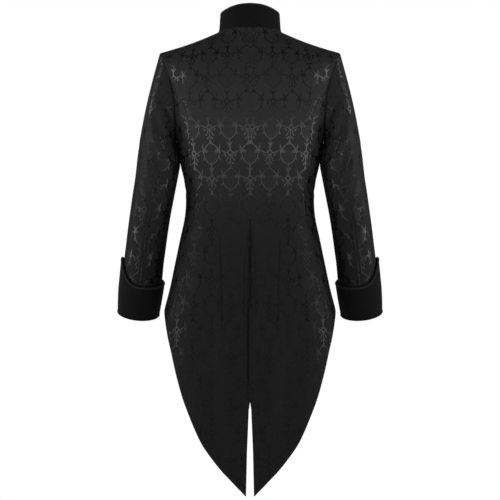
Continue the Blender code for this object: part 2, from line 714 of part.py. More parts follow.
def cuff_top(angle):
    """The height of a turned-back cuff's upper edge: high on the outside, then level at the back and the inside."""
    rise = max(0.0, (math.cos(math.radians(angle)) + 0.15) / 1.15) ** 3
    return CUFF_TOP_INNER + (CUFF_TOP_OUTER - CUFF_TOP_INNER) * rise


def cuff_grid(angles):
    low = SLEEVE["z"][-1]
    rows = []
    for j in range(CUFF_STEPS + 1):
        share = j / CUFF_STEPS
        line = []
        for a in angles:
            z = low + (cuff_top(a) - low) * share
            line.append(sleeve_point(a, z, VELVET + CUFF_ROOMS(share)))
        rows.append(line)
    points = np.array(rows)
    centre = np.array([[0.5 * (line[0] + line[len(line) // 2])] * len(line) for line in rows])
    return points, tube_normals(points, centre)


def collar_grid():
    ends = 180.0 - math.degrees(0.0006 / NECK_HALF)
    lap = math.degrees(math.asin(LAP / NECK_HALF))
    half = list(BACK_NECK_ANGLES) + list(FRONT_NECK_ANGLES[1:]) + [180.0 - lap, ends]
    angles = [-a for a in reversed(half[1:])] + half
    rows = []
    for j in range(COLLAR_STEPS + 1):
        share = j / COLLAR_STEPS
        line = []
        for a in angles:
            p = neck_point(a)
            shrink = 1 - 0.035 * share
            p[0] *= shrink
            p[1] = NECK_Y + (p[1] - NECK_Y) * shrink + COLLAR_LEAN(abs(a)) * share
            p[2] += COLLAR_GAP + COLLAR_HEIGHT(abs(a)) * share
            line.append(p)
        rows.append(line)
    points = np.array(rows)
    normals = np.array([[neck_normal(a) for a in angles] for _ in rows])
    return points, normals


def button_solid(name, z, look):
    """A domed disc on the left forepart, its underside made from the forepart's points, moved out."""
    spokes = 16
    mid = 180.0
    n = body_normal(mid, z)
    vertices = []
    for share, up in ((1.0, 0.0), (1.0, 0.55), (0.62, 1.0)):
        for k in range(spokes):
            a = 2 * math.pi * k / spokes
            x = BUTTON_RADIUS * share * math.cos(a)
            dz = BUTTON_RADIUS * share * math.sin(a)
            angle = mid - math.degrees(x / HALF_WIDTH(z)) * 0.9
            p = body(angle, z + dz) + n * (lap_lift(1.5, 1) + 0.0004 + BUTTON_HEIGHT * up)
            vertices.append(p)
    faces = []
    for level in range(2):
        for k in range(spokes):
            a = level * spokes + k
            b = level * spokes + (k + 1) % spokes
            faces += [[a, b, b + spokes], [a, b + spokes, a + spokes]]
    centre_low = len(vertices)
    vertices.append(body(mid, z) + n * (lap_lift(1.5, 1) + 0.0004))
    vertices.append(body(mid, z) + n * (lap_lift(1.5, 1) + 0.0004 + BUTTON_HEIGHT))
    for k in range(spokes):
        b = (k + 1) % spokes
        faces.append([centre_low, b, k])
        faces.append([centre_low + 1, 2 * spokes + k, 2 * spokes + b])
    points = np.array(vertices)
    tri = points[np.array(faces)]
    volume = np.einsum("ij,ij->i", tri[:, 0], np.cross(tri[:, 1], tri[:, 2])).sum()
    if volume < 0:
        faces = [f[::-1] for f in faces]
    return solid(name, vertices, faces, look)


def main():
    side_points, side_normals, side_arm = side_panel()
    for side, word in ((1, "left"), (-1, "right")):
        damask = [material(f"damask_{kind}_{word}", (0.012, 0.012, 0.013), 0.5, 0.2) for kind in ("back", "side", "front", "top", "under")]
        velvet = material(f"velvet_cuff_{word}", (0.006, 0.006, 0.007), 0.9, 0.6)
        points, normals, back_arm = back_panel(side)
        wall_solid(f"back_{word}", mirror(points, side), mirror(normals, side), CLOTH, damask[0])
        wall_solid(f"side_{word}", mirror(side_points, side), mirror(side_normals, side), CLOTH, damask[1])
        points, normals, front_arm = front_panel(side)
        wall_solid(f"front_{word}", mirror(points, side), mirror(normals, side), CLOTH, damask[2])
        armhole = back_arm + side_arm[1:] + front_arm[::-1][1:-1]
        points, normals, angles = sleeve_grid(armhole)
        hind = min(range(len(angles)), key=lambda k: abs(angles[k] - 98.0))
        fore = min(range(len(angles)), key=lambda k: abs(angles[k] - 238.0))
        for kind, first, last, look in (("under", hind, fore, damask[4]), ("top", fore, hind, damask[3])):
            p, n = strip_of(points, normals, first, last)
            wall_solid(f"sleeve_{kind}_{word}", mirror(p, side), mirror(n, side), CLOTH, look)
        points, normals = cuff_grid(angles)
        wall_solid(f"cuff_{word}", mirror(points, side), mirror(normals, side), VELVET, velvet, closed=True)
    points, normals = collar_grid()
    wall_solid("collar", points, normals, VELVET, material("velvet_collar", (0.006, 0.006, 0.007), 0.9, 0.6))
    for k in range(BUTTONS):
        look = material(f"button_{k + 1}", (0.01, 0.01, 0.01), 0.35, 0.0)
        button_solid(f"button_{k + 1}", BUTTON_TOP_Z - BUTTON_STEP * k, look)


main()
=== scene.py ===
"""Looks for the damask tailcoat: its cloth, velvet, buttons, light and camera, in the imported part's frame.

Metres, +Z up. The back faces +Y, the wearer's left is +X. Angles round the body run from the centre
back (0) past the side (90) to the centre front (180). Angles round a sleeve are 0 outside, 90 behind,
180 inside and 270 in front.
"""

import json
import math

import bpy
import numpy as np
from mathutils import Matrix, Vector


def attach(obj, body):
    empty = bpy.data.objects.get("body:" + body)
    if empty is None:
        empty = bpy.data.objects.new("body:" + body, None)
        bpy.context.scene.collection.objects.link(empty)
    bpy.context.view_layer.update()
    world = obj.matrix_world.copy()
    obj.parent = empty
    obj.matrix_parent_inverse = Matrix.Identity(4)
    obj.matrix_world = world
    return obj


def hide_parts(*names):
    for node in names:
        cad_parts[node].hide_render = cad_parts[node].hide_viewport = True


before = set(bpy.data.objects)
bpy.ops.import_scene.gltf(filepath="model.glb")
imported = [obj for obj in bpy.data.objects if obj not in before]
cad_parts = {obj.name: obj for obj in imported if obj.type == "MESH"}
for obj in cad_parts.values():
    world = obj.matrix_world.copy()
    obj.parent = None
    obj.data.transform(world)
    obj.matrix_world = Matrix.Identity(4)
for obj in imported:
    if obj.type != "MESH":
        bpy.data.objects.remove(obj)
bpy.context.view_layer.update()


def columns(names, *rows):
    """A table from its rows: one tuple for each named column."""
    return dict(zip(names.split(), zip(*rows)))


WALL = 0.0016
VELVET_WALL = 0.0022
SEAM_HALF = 0.00017
SEAM_LAP = 0.00025
ARM_Z = -0.1625
ARM_Y = -0.0030
ARM_HALF_Y = 0.0630
ARM_TOP = -0.0550
ARM_BOTTOM = -0.2750
SHOULDER = (0.2250, -0.0040, -0.0550)
SHOULDER_SAG = 0.0038
ROWS_Z = -0.3100
UNDERARM_SEAM_Z = -0.2450
NECK_HALF = 0.0775
NECK_Y = -0.0150
NECK_DEPTH = 0.0700
VENT_TOP = -0.6400
LAP = 0.0125
LAP_LIFT = 0.0029
COLLAR_GAP = 0.0004
CUFF_GROW = 0.0026
CUFF_TOP_OUTER = -0.5725
CUFF_TOP_INNER = -0.6245
HIND_SEAM = 90.0
FORE_SEAM = 236.25
BUTTON_TOP_Z = -0.1720
BUTTON_STEP = 0.0520
BUTTONS = 6
BUTTON_SPOKES = 40
# Where the forepart's shoulder seam ends and its neckline begins, in shares of its width.
SHOULDER_SHARE = 0.42
FRONT_NECK_SHARE = 0.58
# Metres round a sleeve for each degree.
SLEEVE_DEGREE = 0.00105

SECTIONS = columns(
    "z half_width back front roundness",
    (-1.200, 0.2360, 0.1320, 0.1150, 2.20),
    (-1.000, 0.2330, 0.1340, 0.1150, 2.20),
    (-0.800, 0.2260, 0.1330, 0.1150, 2.20),
    (-0.7025, 0.2150, 0.1290, 0.1140, 2.20),
    (-0.6425, 0.2000, 0.1240, 0.1130, 2.25),
    (-0.5825, 0.1875, 0.1150, 0.1110, 2.30),
    (-0.5225, 0.1750, 0.1040, 0.1090, 2.30),
    (-0.4625, 0.1625, 0.0940, 0.1080, 2.30),
    (-0.4175, 0.1600, 0.0910, 0.1100, 2.30),
    (-0.3725, 0.1648, 0.0950, 0.1170, 2.30),
    (-0.3425, 0.1720, 0.1000, 0.1220, 2.35),
    (-0.2800, 0.1830, 0.1100, 0.1280, 2.40),
    (-0.2200, 0.1960, 0.1160, 0.1250, 2.45),
    (-0.1625, 0.2060, 0.1160, 0.1140, 2.50),
)
HEM = columns(
    "angle z",
    (-6.0, -1.118), (0.0, -1.138), (2.3, -1.1395), (4.9, -1.1294), (8.4, -1.1151), (11.7, -1.101),
    (15.2, -1.0869), (18.4, -1.0728), (24.1, -1.0445), (29.2, -1.0161), (33.1, -0.9876), (36.6, -0.9591),
    (40.1, -0.9307), (43.6, -0.9024), (46.9, -0.874), (50.4, -0.8455), (53.9, -0.817), (58.0, -0.7884),
    (63.7, -0.7599), (74.0, -0.7318), (84.7, -0.7032), (92.0, -0.686), (110.0, -0.645), (135.0, -0.570),
    (160.0, -0.505), (180.0, -0.470), (190.0, -0.470),
)
SIDE_BACK_SEAM = {
    "z": (-1.150, -0.820, -0.640, -0.500, -0.4175, -0.300, -0.250, -0.205, -0.185, -0.172, -0.1625),
    "angle": (57.0, 57.0, 57.0, 57.0, 55.5, 50.5, 48.0, 47.6, 49.5, 53.5, 59.9),
}
SIDE_FRONT_SEAM = {
    "z": (-0.900, -0.640, -0.4175, -0.2450),
    "angle": (108.0, 108.5, 110.0, 111.5),
}
NECKLINE = {
    "angle": (0.0, 45.0, 90.0, 120.0, 150.0, 180.0, 195.0),
    "z": (0.0, 0.0002, -0.0012, -0.0130, -0.0440, -0.0680, -0.0660),
}
COLLAR = {
    "angle": (0.0, 20.0, 42.0, 66.0, 90.0, 140.0, 180.0),
    "height": (0.0616, 0.0598, 0.0545, 0.0475, 0.0445, 0.0410, 0.0380),
    "lean": (-0.0060, -0.0062, -0.0065, -0.0068, -0.0070, -0.0060, -0.0050),
}
VENT_EDGES = {
    "z": (-1.150, -1.030, -0.930, -0.880, -0.712, -0.674, -0.664, -0.640),
    "over": (-0.0100, -0.0072, -0.0030, 0.0040, 0.0040, 0.0038, 0.0001, 0.0001),
    "under": (0.0100, 0.0072, 0.0030, -0.0060, -0.0060, -0.0055, -0.0001, -0.0001),
    "inset": (0.0, 0.0, 0.0029, 0.0030, 0.0030, 0.0028, 0.0022, 0.0),
}
BODY_FOLDS = columns(
    "name angle half_angle z half_z slant depth",
    ("centre hollow", 0.0, 6.0, -0.690, 0.250, 0.0, -0.0055),
    ("waist hollow", 0.0, 5.0, -0.540, 0.090, 0.0, -0.0020),
    ("tail flute in", 22.0, 12.0, -0.900, 0.330, 20.0, -0.0040),
    ("tail flute out", 40.0, 12.0, -0.900, 0.330, 14.0, 0.0030),
    ("side flute in", 74.0, 13.0, -0.690, 0.200, 10.0, -0.0045),
    ("waist break", 66.0, 14.0, -0.410, 0.060, -60.0, -0.0025),
)
SLEEVE = {
    "z": (-0.335, -0.375, -0.415, -0.455, -0.495, -0.535, -0.575, -0.615, -0.655, -0.7090),
    "x": (0.2282, 0.2342, 0.2412, 0.2481, 0.2544, 0.2602, 0.2662, 0.2716, 0.2772, 0.2836),
    "y": (0.0080, 0.0095, 0.0090, 0.0060, 0.0010, -0.0070, -0.0170, -0.0285, -0.0400, -0.0560),
    "half_width": (0.0538, 0.0522, 0.0514, 0.0505, 0.0502, 0.0500, 0.0500, 0.0508, 0.0512, 0.0500),
    "half_depth": (0.0730, 0.0705, 0.0680, 0.0655, 0.0635, 0.0610, 0.0590, 0.0575, 0.0560, 0.0545),
    "lean_forward": (-3.0, 0.0, 2.0, 5.0, 8.0, 11.0, 13.0, 14.5, 15.5, 16.0),
    "lean_out": (8.0, 8.5, 9.0, 9.0, 8.5, 8.0, 7.5, 7.0, 7.0, 7.0),
}
SLEEVE_FOLDS = columns(
    "name angle half_angle z half_z slant depth",
    ("cap dent", 98.0, 40.0, -0.196, 0.022, -0.00110, -0.0030),
    ("drag one", 93.0, 34.0, -0.258, 0.032, -0.00170, -0.0056),
    ("drag ridge", 103.0, 30.0, -0.294, 0.026, -0.00170, 0.0026),
    ("drag two", 100.0, 32.0, -0.343, 0.030, -0.00160, -0.0042),
    ("inner hollow", 128.0, 26.0, -0.235, 0.060, 0.0, -0.0024),
    ("inner swell", 180.0, 26.0, -0.288, 0.036, 0.0, 0.0030),
    ("elbow one", 118.0, 48.0, -0.430, 0.022, -0.00040, -0.0028),
    ("elbow two", 96.0, 50.0, -0.490, 0.026, 0.00040, -0.0022),
    ("elbow three", 128.0, 40.0, -0.535, 0.020, 0.00035, -0.0020),
    ("front break", 262.0, 46.0, -0.440, 0.022, 0.00030, -0.0045),
    ("front break two", 268.0, 50.0, -0.500, 0.024, -0.00030, -0.0035),
)
CUFF = {
    "share": (0.0, 0.25, 0.5, 0.75, 1.0),
    "room": (0.0005, 0.0018, 0.0030, 0.0040, 0.0048),
}
BACK_NECK = {
    "share": (0.0, 0.035, 0.085, 0.16, 0.26, 0.37, 0.48),
    "angle": (0.0, 7.0, 17.0, 32.0, 51.0, 71.0, 90.0),
}
BACK_SHOULDER = {
    "share": (0.48, 0.57, 0.66, 0.75, 0.835, 0.92, 1.0),
    "out": (0.0, 0.17, 0.34, 0.51, 0.68, 0.84, 1.0),
}
MIDDLE = {
    "step": (0.0, 1.0, 2.0, 3.0, 4.0, 5.0, 6.0, 7.0),
    "z": (-0.1625, -0.172, -0.184, -0.199, -0.218, -0.245, -0.275, -0.3100),
}
# Fine creases on the body, mirrored left and right: metres round from the centre back, height, half the
# length and half the width, the turn of the crease's line from upright, and the depth.
BODY_CREASES = columns(
    "round z half_length half_width turn depth",
    (0.0155, -0.660, 0.110, 0.0055, 0.0, -0.0012),
    (0.0, -0.575, 0.110, 0.011, 0.0, -0.0030),
    (0.070, -0.615, 0.115, 0.007, 2.0, -0.0014),
    (0.060, -0.385, 0.050, 0.010, 68.0, -0.0007),
    (0.095, -0.402, 0.046, 0.009, 76.0, 0.0008),
    (0.125, -0.372, 0.055, 0.011, 60.0, -0.0009),
    (0.150, -0.425, 0.045, 0.010, 84.0, -0.0009),
    (0.070, -0.445, 0.040, 0.009, -72.0, 0.0006),
    (0.105, -0.460, 0.040, 0.010, -80.0, -0.0006),
    (0.050, -0.330, 0.060, 0.014, 40.0, 0.0006),
    (0.120, -0.300, 0.070, 0.016, 25.0, -0.0008),
    (0.160, -0.480, 0.050, 0.012, 70.0, -0.0008),
    (0.075, -0.800, 0.090, 0.018, 8.0, 0.0009),
    (0.130, -0.760, 0.080, 0.016, 12.0, -0.0012),
    (0.205, -0.400, 0.060, 0.012, 75.0, -0.0014),
    (0.300, -0.400, 0.060, 0.013, -70.0, -0.0014),
    (0.330, -0.330, 0.070, 0.016, -50.0, 0.0012),
    (0.110, -0.930, 0.110, 0.020, 10.0, 0.0010),
)
# Fine creases on a sleeve, as above but with degrees round it.
SLEEVE_CREASES = columns(
    "round z half_length half_width turn depth",
    (62.0, -0.225, 0.045, 0.010, -28.0, 0.0028),
    (86.0, -0.290, 0.050, 0.010, -30.0, 0.0030),
    (74.0, -0.335, 0.040, 0.009, -22.0, -0.0024),
    (122.0, -0.285, 0.050, 0.011, -26.0, -0.0026),
    (70.0, -0.185, 0.040, 0.010, -40.0, 0.0024),
    (112.0, -0.215, 0.035, 0.010, -48.0, -0.0026),
    (132.0, -0.345, 0.045, 0.010, -30.0, 0.0022),
    (60.0, -0.385, 0.040, 0.010, -35.0, 0.0018),
    (104.0, -0.395, 0.040, 0.010, -65.0, 0.0018),
    (76.0, -0.420, 0.035, 0.008, 60.0, -0.0014),
    (112.0, -0.462, 0.040, 0.009, -62.0, 0.0016),
    (90.0, -0.520, 0.035, 0.010, 80.0, 0.0012),
    (136.0, -0.490, 0.035, 0.008, -60.0, 0.0014),
    (250.0, -0.405, 0.050, 0.010, 70.0, 0.0022),
    (275.0, -0.460, 0.055, 0.011, -75.0, -0.0022),
    (262.0, -0.525, 0.045, 0.010, 72.0, 0.0020),
    (240.0, -0.350, 0.050, 0.011, 60.0, -0.0018),
    (30.0, -0.300, 0.060, 0.014, -30.0, 0.0012),
    (180.0, -0.284, 0.050, 0.030, 0.0, 0.0044),
)
# Painted shade on the backs: dark lines in the grooves of the waist darts and the centre back seam, the
# shade in the fold over the vent and the shadow beside its edge. Metres round from the centre back and
# height at both ends, widths in millimetres, the blur round them and how dark they are. panel is 1 for the
# left back only, -1 for the right back only and 0 for both.
BACK_SHADE_LINES = columns(
    "name round1 z1 round2 z2 width1 width2 blur dark panel",
    ("dart", 0.0738, -0.520, 0.0668, -0.715, 0.2, 0.9, 2.8, 0.34, 0),
    ("dart end", 0.0670, -0.704, 0.0668, -0.716, 1.2, 1.8, 3.0, 0.60, 0),
    ("fold core", 0.0, -0.500, 0.0, -0.590, 1.0, 5.0, 7.0, 0.36, 0),
    ("fold shade", 0.0, -0.560, 0.0, -0.690, 5.0, 5.0, 9.0, 0.22, 0),
    ("fold wing", 0.0015, -0.495, 0.0138, -0.582, 1.0, 1.6, 2.6, 0.30, 0),
    ("fold side", 0.0138, -0.582, 0.0150, -0.712, 1.4, 0.8, 1.8, 0.28, 0),
    ("seam", 0.0, -0.480, 0.0, -0.690, 0.6, 0.8, 1.8, 0.60, 0),
    ("vent edge", 0.0046, -0.690, 0.0043, -0.875, 1.0, 1.2, 2.0, 0.50, 1),
    ("vent edge low", 0.0043, -0.745, 0.0040, -0.855, 1.6, 2.2, 2.0, 0.80, 1),
    ("over edge", -0.0036, -0.690, -0.0036, -0.870, 1.2, 1.2, 1.8, 0.50, -1),
)
# How far the cloth turns in beside a seam or an edge.
ROLL = {
    "from_edge": (0.0, 0.0015, 0.0030, 0.0055, 0.0080),
    "rise": (-0.00095, -0.00034, -0.00008, 0.00014, 0.0),
}
# The same for velvet edges, which are fuller.
VELVET_ROLL = {
    "from_edge": (0.0, 0.0008, 0.0018, 0.0030, 0.0042, 0.0056, 0.0075, 0.0100),
    "rise": (-0.0010, 0.0003, 0.0010, 0.0010, 0.0004, -0.0003, -0.0002, 0.0),
}
# The damask's figure in millimetres, across from its column's middle and down from its top.
STROKES = columns(
    "name x1 y1 x2 y2 w1 w2",
    ("arm", 4.6, 27.5, 12.5, 25.5, 1.7, 2.5),
    ("arm tip", 12.5, 25.5, 21.5, 20.5, 2.5, 1.3),
    ("low arm", 2.6, 32.5, 9.5, 45.5, 1.3, 2.5),
    ("arch", 4.0, 66.0, 10.5, 70.5, 1.6, 1.7),
    ("arch end", 10.5, 70.5, 17.0, 78.5, 1.7, 2.6),
    ("tendril", 19.8, 88.0, 18.2, 99.5, 1.6, 1.5),
    ("tendril turn", 18.2, 99.5, 12.2, 109.5, 1.5, 1.6),
    ("tendril foot", 12.2, 109.5, 2.2, 116.5, 1.6, 1.0),
    ("tendril leaf", 18.0, 99.0, 22.6, 106.0, 2.2, 0.9),
    ("spike", 0.0, 111.0, 0.0, 123.8, 1.0, 2.2),
    ("link", 21.8, 74.0, 23.2, 65.5, 1.5, 0.8),
)
OVALS = columns(
    "name x y across along turn",
    ("bud", 19.2, 82.5, 3.5, 6.4, -32.0),
    ("knob", 21.8, 74.6, 2.3, 2.9, 0.0),
    ("stem leaf", 5.2, 51.5, 1.5, 3.6, -38.0),
    ("arm leaf", 12.6, 31.5, 1.7, 3.4, 42.0),
)
RINGS = columns(
    "name x y radius half_stroke",
    ("ring", 0.0, 26.0, 5.4, 1.35),
    ("curl", 13.2, 84.5, 2.6, 0.8),
)
# Parts that widen smoothly to one end: from their narrow end to their wide end, with a plain stem beyond.
FLARES = columns(
    "name narrow_y wide_y stem_y narrow wide notch",
    ("cup", 11.5, 0.0, 21.0, 1.4, 8.6, 2.6),
    ("foot", 55.0, 67.0, 33.0, 1.1, 6.0, 0.0),
)
# The faint rosette at the middle of a column: two wavy rings and a dot, in millimetres.
ROSETTE = {
    "y": 97.0,
    "waves": 4.0,
    "outer": 11.0,
    "outer_wave": 1.9,
    "outer_half": 0.55,
    "inner": 5.6,
    "inner_wave": 1.3,
    "inner_half": 0.30,
    "dot": 1.3,
    "strength": 0.78,
}
COLUMN_STEP = 47.0
REPEAT = 124.0
PAIR_OFFSET = 0.0090
HALF_COLUMN = COLUMN_STEP / 2000
BACK_FIGURE_Z = -0.2241
SIDE_FIGURE_Z = -0.2950
THREAD = 0.0011
GROUND_COLOUR = (0.0400, 0.0400, 0.0420)
FIGURE_COLOUR = (0.0030, 0.0030, 0.0034)
# Painted shade in the backs' dart and seam grooves, in the fold over the vent and beside the vent's edge.
PAINTED_SHADE_COLOUR = (0.0016, 0.0016, 0.0018)
REVERSE_COLOUR = (0.011, 0.011, 0.012)
BUTTON_COLOUR = (0.012, 0.012, 0.013)
# Velvet's own colour, and the lighter colour painted on its turned edge as a highlight where the edge
# catches the light.
CUFF_COLOURS = ((0.0200, 0.0200, 0.0210), (0.0560, 0.0560, 0.0580))
COLLAR_COLOURS = ((0.0115, 0.0115, 0.0121), (0.0400, 0.0400, 0.0418))
FLOOR_HALF = 0.62
FLOOR_Z = -1.75
CAMERA_PLACE = (0.0, 3.3, -0.5475)
CAMERA_LENS = 95.04
STRIP_REACH = 0.95
STRIP_Z = -0.46
STRIP_AIM = (0.0, 0.05, -0.12)
STRIP_SIZE = (0.34, 0.28)
STRIP_SPREAD = 46.0
STRIP_POWER = 0.038
STRIP_SIDE_POWER = 0.024
# Lights: name, place, aim, size, watts and spread in degrees. The side ones stand on both sides.
MIDDLE_LIGHTS = (
    ("top front", (0.0, 2.1, 1.6), (0.0, 0.1, -0.20), (3.2, 2.4), 4.6, 180.0),
    ("room", (0.0, 4.6, 0.1), (0.0, 0.0, -0.55), (7.0, 4.4), 9.5, 180.0),
    ("front face", (0.0, -2.6, 0.4), (0.0, 0.0, -0.5), (1.6, 1.2), 7.0, 180.0),
)
SIDE_LIGHTS = (
    ("side", (2.2, 0.20, -0.42), (0.2, 0.0, -0.40), (2.1, 0.80), 2.2, 180.0),
    ("high", (2.1, 0.20, 0.9), (0.25, 0.0, -0.30), (1.8, 1.0), 11.5, 180.0),
    ("sleeve", (1.25, 0.10, -0.55), (0.25, 0.0, -0.26), (0.9, 0.5), 0.24, 50.0),
    ("below", (1.7, 1.3, -1.7), (0.0, 0.1, -0.35), (3.0, 2.2), 2.2, 70.0),
)


def running(steps, axis):
    """Sums along an axis, starting from 0."""
    first = np.zeros_like(np.take(steps, [0], axis=axis))
    return np.concatenate([first, np.cumsum(steps, axis=axis)], axis=axis)


def row_lengths(points):
    """Metres along each row of a grid from its first point."""
    return running(np.linalg.norm(np.diff(points, axis=1), axis=2), 1)


def column_lengths(points):
    """Metres down each column of a grid from its first point."""
    return running(np.linalg.norm(np.diff(points, axis=0), axis=2), 0)


def curve(table, key, by):
    """A smooth curve through a table's rows, with slopes from the neighbouring rows."""
    xs = np.array(table[by], float)
    ys = np.array(table[key], float)
    order = np.argsort(xs)
    xs = xs[order]
    ys = ys[order]
    steps = np.diff(xs)
    rises = np.diff(ys) / steps
    slopes = np.empty_like(ys)
    slopes[0] = rises[0]
    slopes[-1] = rises[-1]
    slopes[1:-1] = (rises[:-1] * steps[1:] + rises[1:] * steps[:-1]) / (steps[:-1] + steps[1:])

    def value(x):
        x = np.asarray(x, float)
        i = np.clip(np.searchsorted(xs, x) - 1, 0, len(xs) - 2)
        t = (x - xs[i]) / steps[i]
        a = (1 + 2 * t) * (1 - t) ** 2
        b = t * (1 - t) ** 2
        c = t * t * (3 - 2 * t)
        d = t * t * (t - 1)
        inside = a * ys[i] + b * steps[i] * slopes[i] + c * ys[i + 1] + d * steps[i] * slopes[i + 1]
        below = ys[0] + slopes[0] * (x - xs[0])
        above = ys[-1] + slopes[-1] * (x - xs[-1])
        return np.where(x < xs[0], below, np.where(x > xs[-1], above, inside))

    return value


def straight(table, key, by):
    """Straight lines through a table's rows, which are in rising order."""
    return lambda x: np.interp(x, table[by], table[key])


HALF_WIDTH = curve(SECTIONS, "half_width", "z")
BACK_DEPTH = curve(SECTIONS, "back", "z")
FRONT_DEPTH = curve(SECTIONS, "front", "z")
ROUNDNESS = curve(SECTIONS, "roundness", "z")
HEM_Z = curve(HEM, "z", "angle")
SIDE_BACK = curve(SIDE_BACK_SEAM, "angle", "z")
SIDE_FRONT = curve(SIDE_FRONT_SEAM, "angle", "z")
NECK_Z = curve(NECKLINE, "z", "angle")
COLLAR_HEIGHT = curve(COLLAR, "height", "angle")
COLLAR_LEAN = curve(COLLAR, "lean", "angle")
VENT_OVER = straight(VENT_EDGES, "over", "z")
VENT_UNDER = straight(VENT_EDGES, "under", "z")
VENT_INSET = straight(VENT_EDGES, "inset", "z")
SLEEVE_X = curve(SLEEVE, "x", "z")
SLEEVE_Y = curve(SLEEVE, "y", "z")
SLEEVE_WIDTH = curve(SLEEVE, "half_width", "z")
SLEEVE_DEPTH = curve(SLEEVE, "half_depth", "z")
SLEEVE_FORWARD = curve(SLEEVE, "lean_forward", "z")
SLEEVE_OUT = curve(SLEEVE, "lean_out", "z")
CUFF_ROOMS = curve(CUFF, "room", "share")
BACK_NECK_ANGLE = curve(BACK_NECK, "angle", "share")
BACK_SHOULDER_OUT = curve(BACK_SHOULDER, "out", "share")
MIDDLE_Z = curve(MIDDLE, "z", "step")
ROLL_RISE = straight(ROLL, "rise", "from_edge")
VELVET_RISE = straight(VELVET_ROLL, "rise", "from_edge")


def stack(x, y, z):
    """Points from their coordinates, which may be arrays or numbers."""
    parts = [np.asarray(part, float) for part in (x, y, z)]
    return np.stack(np.broadcast_arrays(*parts), axis=-1)


def unit(v):
    """Vectors of length 1."""
    v = np.asarray(v, float)
    return v / np.maximum(np.linalg.norm(v, axis=-1, keepdims=True), 1e-12)


def window(x):
    """A soft hump, 1 at 0 and level with 0 at -1 and 1."""
    return np.where(np.abs(x) < 1.0, (1 - np.minimum(np.abs(x), 1.0) ** 2) ** 2, 0.0)


def smooth(t):
    """Rises softly from 0 to 1."""
    t = np.clip(t, 0.0, 1.0)
    return t * t * (3 - 2 * t)


def solve(f, low, high):
    """Where a function passes 0 between low and high, for whole arrays at once."""
    low = np.array(low, float)
    high = np.array(high, float)
    rising = f(high) > f(low)
    for _ in range(44):
        mid = 0.5 * (low + high)
        up = (f(mid) > 0) == rising
        high = np.where(up, mid, high)
        low = np.where(up, low, mid)
    return 0.5 * (low + high)


def ring(angle, z):
    """The plain body, before its folds."""
    n = ROUNDNESS(z)
    s = np.sin(np.radians(angle))
    c = np.cos(np.radians(angle))
    k = (np.abs(s) ** n + np.abs(c) ** n) ** (-1.0 / n)
    deep = np.where(c > 0, BACK_DEPTH(z), FRONT_DEPTH(z))
    return stack(HALF_WIDTH(z) * s * k, deep * c * k, z)


def ring_normal(angle, z):
    """The plain body's normal, out of the cloth."""
    pa = ring(angle + 0.5, z) - ring(angle - 0.5, z)
    pz = ring(angle, z + 0.002) - ring(angle, z - 0.002)
    n = unit(np.cross(pa, pz))
    out = stack(np.sin(np.radians(angle)), np.cos(np.radians(angle)), 0.0)
    return n * np.where(np.sum(n * out, axis=-1) < 0, -1.0, 1.0)[..., None]


def rows_of(table):
    """A table's rows, each with its numbers under their names."""
    keys = [k for k in table if k != "name"]
    return [dict(zip(keys, row)) for row in zip(*(table[k] for k in keys))]


def body_fold(angle, z):
    """How far the body's large folds lift the cloth."""
    total = 0.0
    for f in rows_of(BODY_FOLDS):
        tall = window((z - f["z"]) / f["half_z"])
        turned = np.abs(angle) - f["angle"] - f["slant"] * (z - f["z"])
        total = total + f["depth"] * tall * window(turned / f["half_angle"])
    return total


def crease(table, across, up, scale):
    """Soft troughs and ridges along slanted lines. scale turns across into metres."""
    total = 0.0
    for f in rows_of(table):
        a = math.radians(f["turn"])
        dx = (across - f["round"]) * scale
        dz = up - f["z"]
        along = dx * math.sin(a) + dz * math.cos(a)
        side = dx * math.cos(a) - dz * math.sin(a) + 2.5 * along**2
        side = side / f["half_width"]
        taper = window(along / f["half_length"])
        total = total + f["depth"] * taper * (window(side) - 0.35 * window(side / 2.2))
    return total


ROUND_Z = np.linspace(-1.22, -0.14, 109)
ROUND_A = np.linspace(-12.0, 196.0, 417)


def round_lengths():
    """Metres round the plain body from the centre back, for each ROUND_Z and ROUND_A."""
    lengths = row_lengths(ring(ROUND_A[None, :], ROUND_Z[:, None])[..., :2])
    middle = int(np.argmin(np.abs(ROUND_A)))
    return lengths - lengths[:, middle : middle + 1]


ROUND_LENGTH = round_lengths()


def round_from_back(angle, z):
    """Metres round the body from the centre back, at one height."""
    i = np.clip((z - ROUND_Z[0]) / (ROUND_Z[1] - ROUND_Z[0]), 0, len(ROUND_Z) - 1.001)
    k = np.clip((angle - ROUND_A[0]) / (ROUND_A[1] - ROUND_A[0]), 0, len(ROUND_A) - 1.001)
    i0 = i.astype(int)
    k0 = k.astype(int)
    up = i - i0
    on = k - k0
    top = ROUND_LENGTH[i0, k0] * (1 - on) + ROUND_LENGTH[i0, k0 + 1] * on
    low = ROUND_LENGTH[i0 + 1, k0] * (1 - on) + ROUND_LENGTH[i0 + 1, k0 + 1] * on
    return top * (1 - up) + low * up


def down_length(z):
    """Metres down the centre back's profile from the armhole's middle."""
    zs = np.linspace(ARM_Z, -1.25, 300)
    run = running(np.hypot(np.diff(zs), np.diff(BACK_DEPTH(zs))), 0)
    return np.interp(-z, -zs, run)


def body(angle, z, creases=True):
    """The body with its folds, up to the armhole's middle."""
    p = ring(angle, z)
    move = body_fold(angle, z)
    if creases:
        move = move + crease(BODY_CREASES, round_from_back(np.abs(angle), z), z, 1.0)
    return p + ring_normal(angle, z) * np.asarray(move)[..., None]


def armhole_y(z, front):
    """Half an armhole's edge below its middle, where it lies on the body."""
    drop = np.minimum(1.0, (ARM_Z - z) / (ARM_Z - ARM_BOTTOM))
    reach = ARM_HALF_Y * np.sqrt(np.maximum(0.0, 1 - drop * drop))
    return ARM_Y - reach if front else ARM_Y + reach


def armhole_angle(z, front):
    """Where round the body an armhole's edge lies at a height."""
    z = np.asarray(z, float)
    want = armhole_y(z, front)
    return solve(lambda a: ring(a, z)[..., 1] - want, np.full(z.shape, 40.0), np.full(z.shape, 150.0))


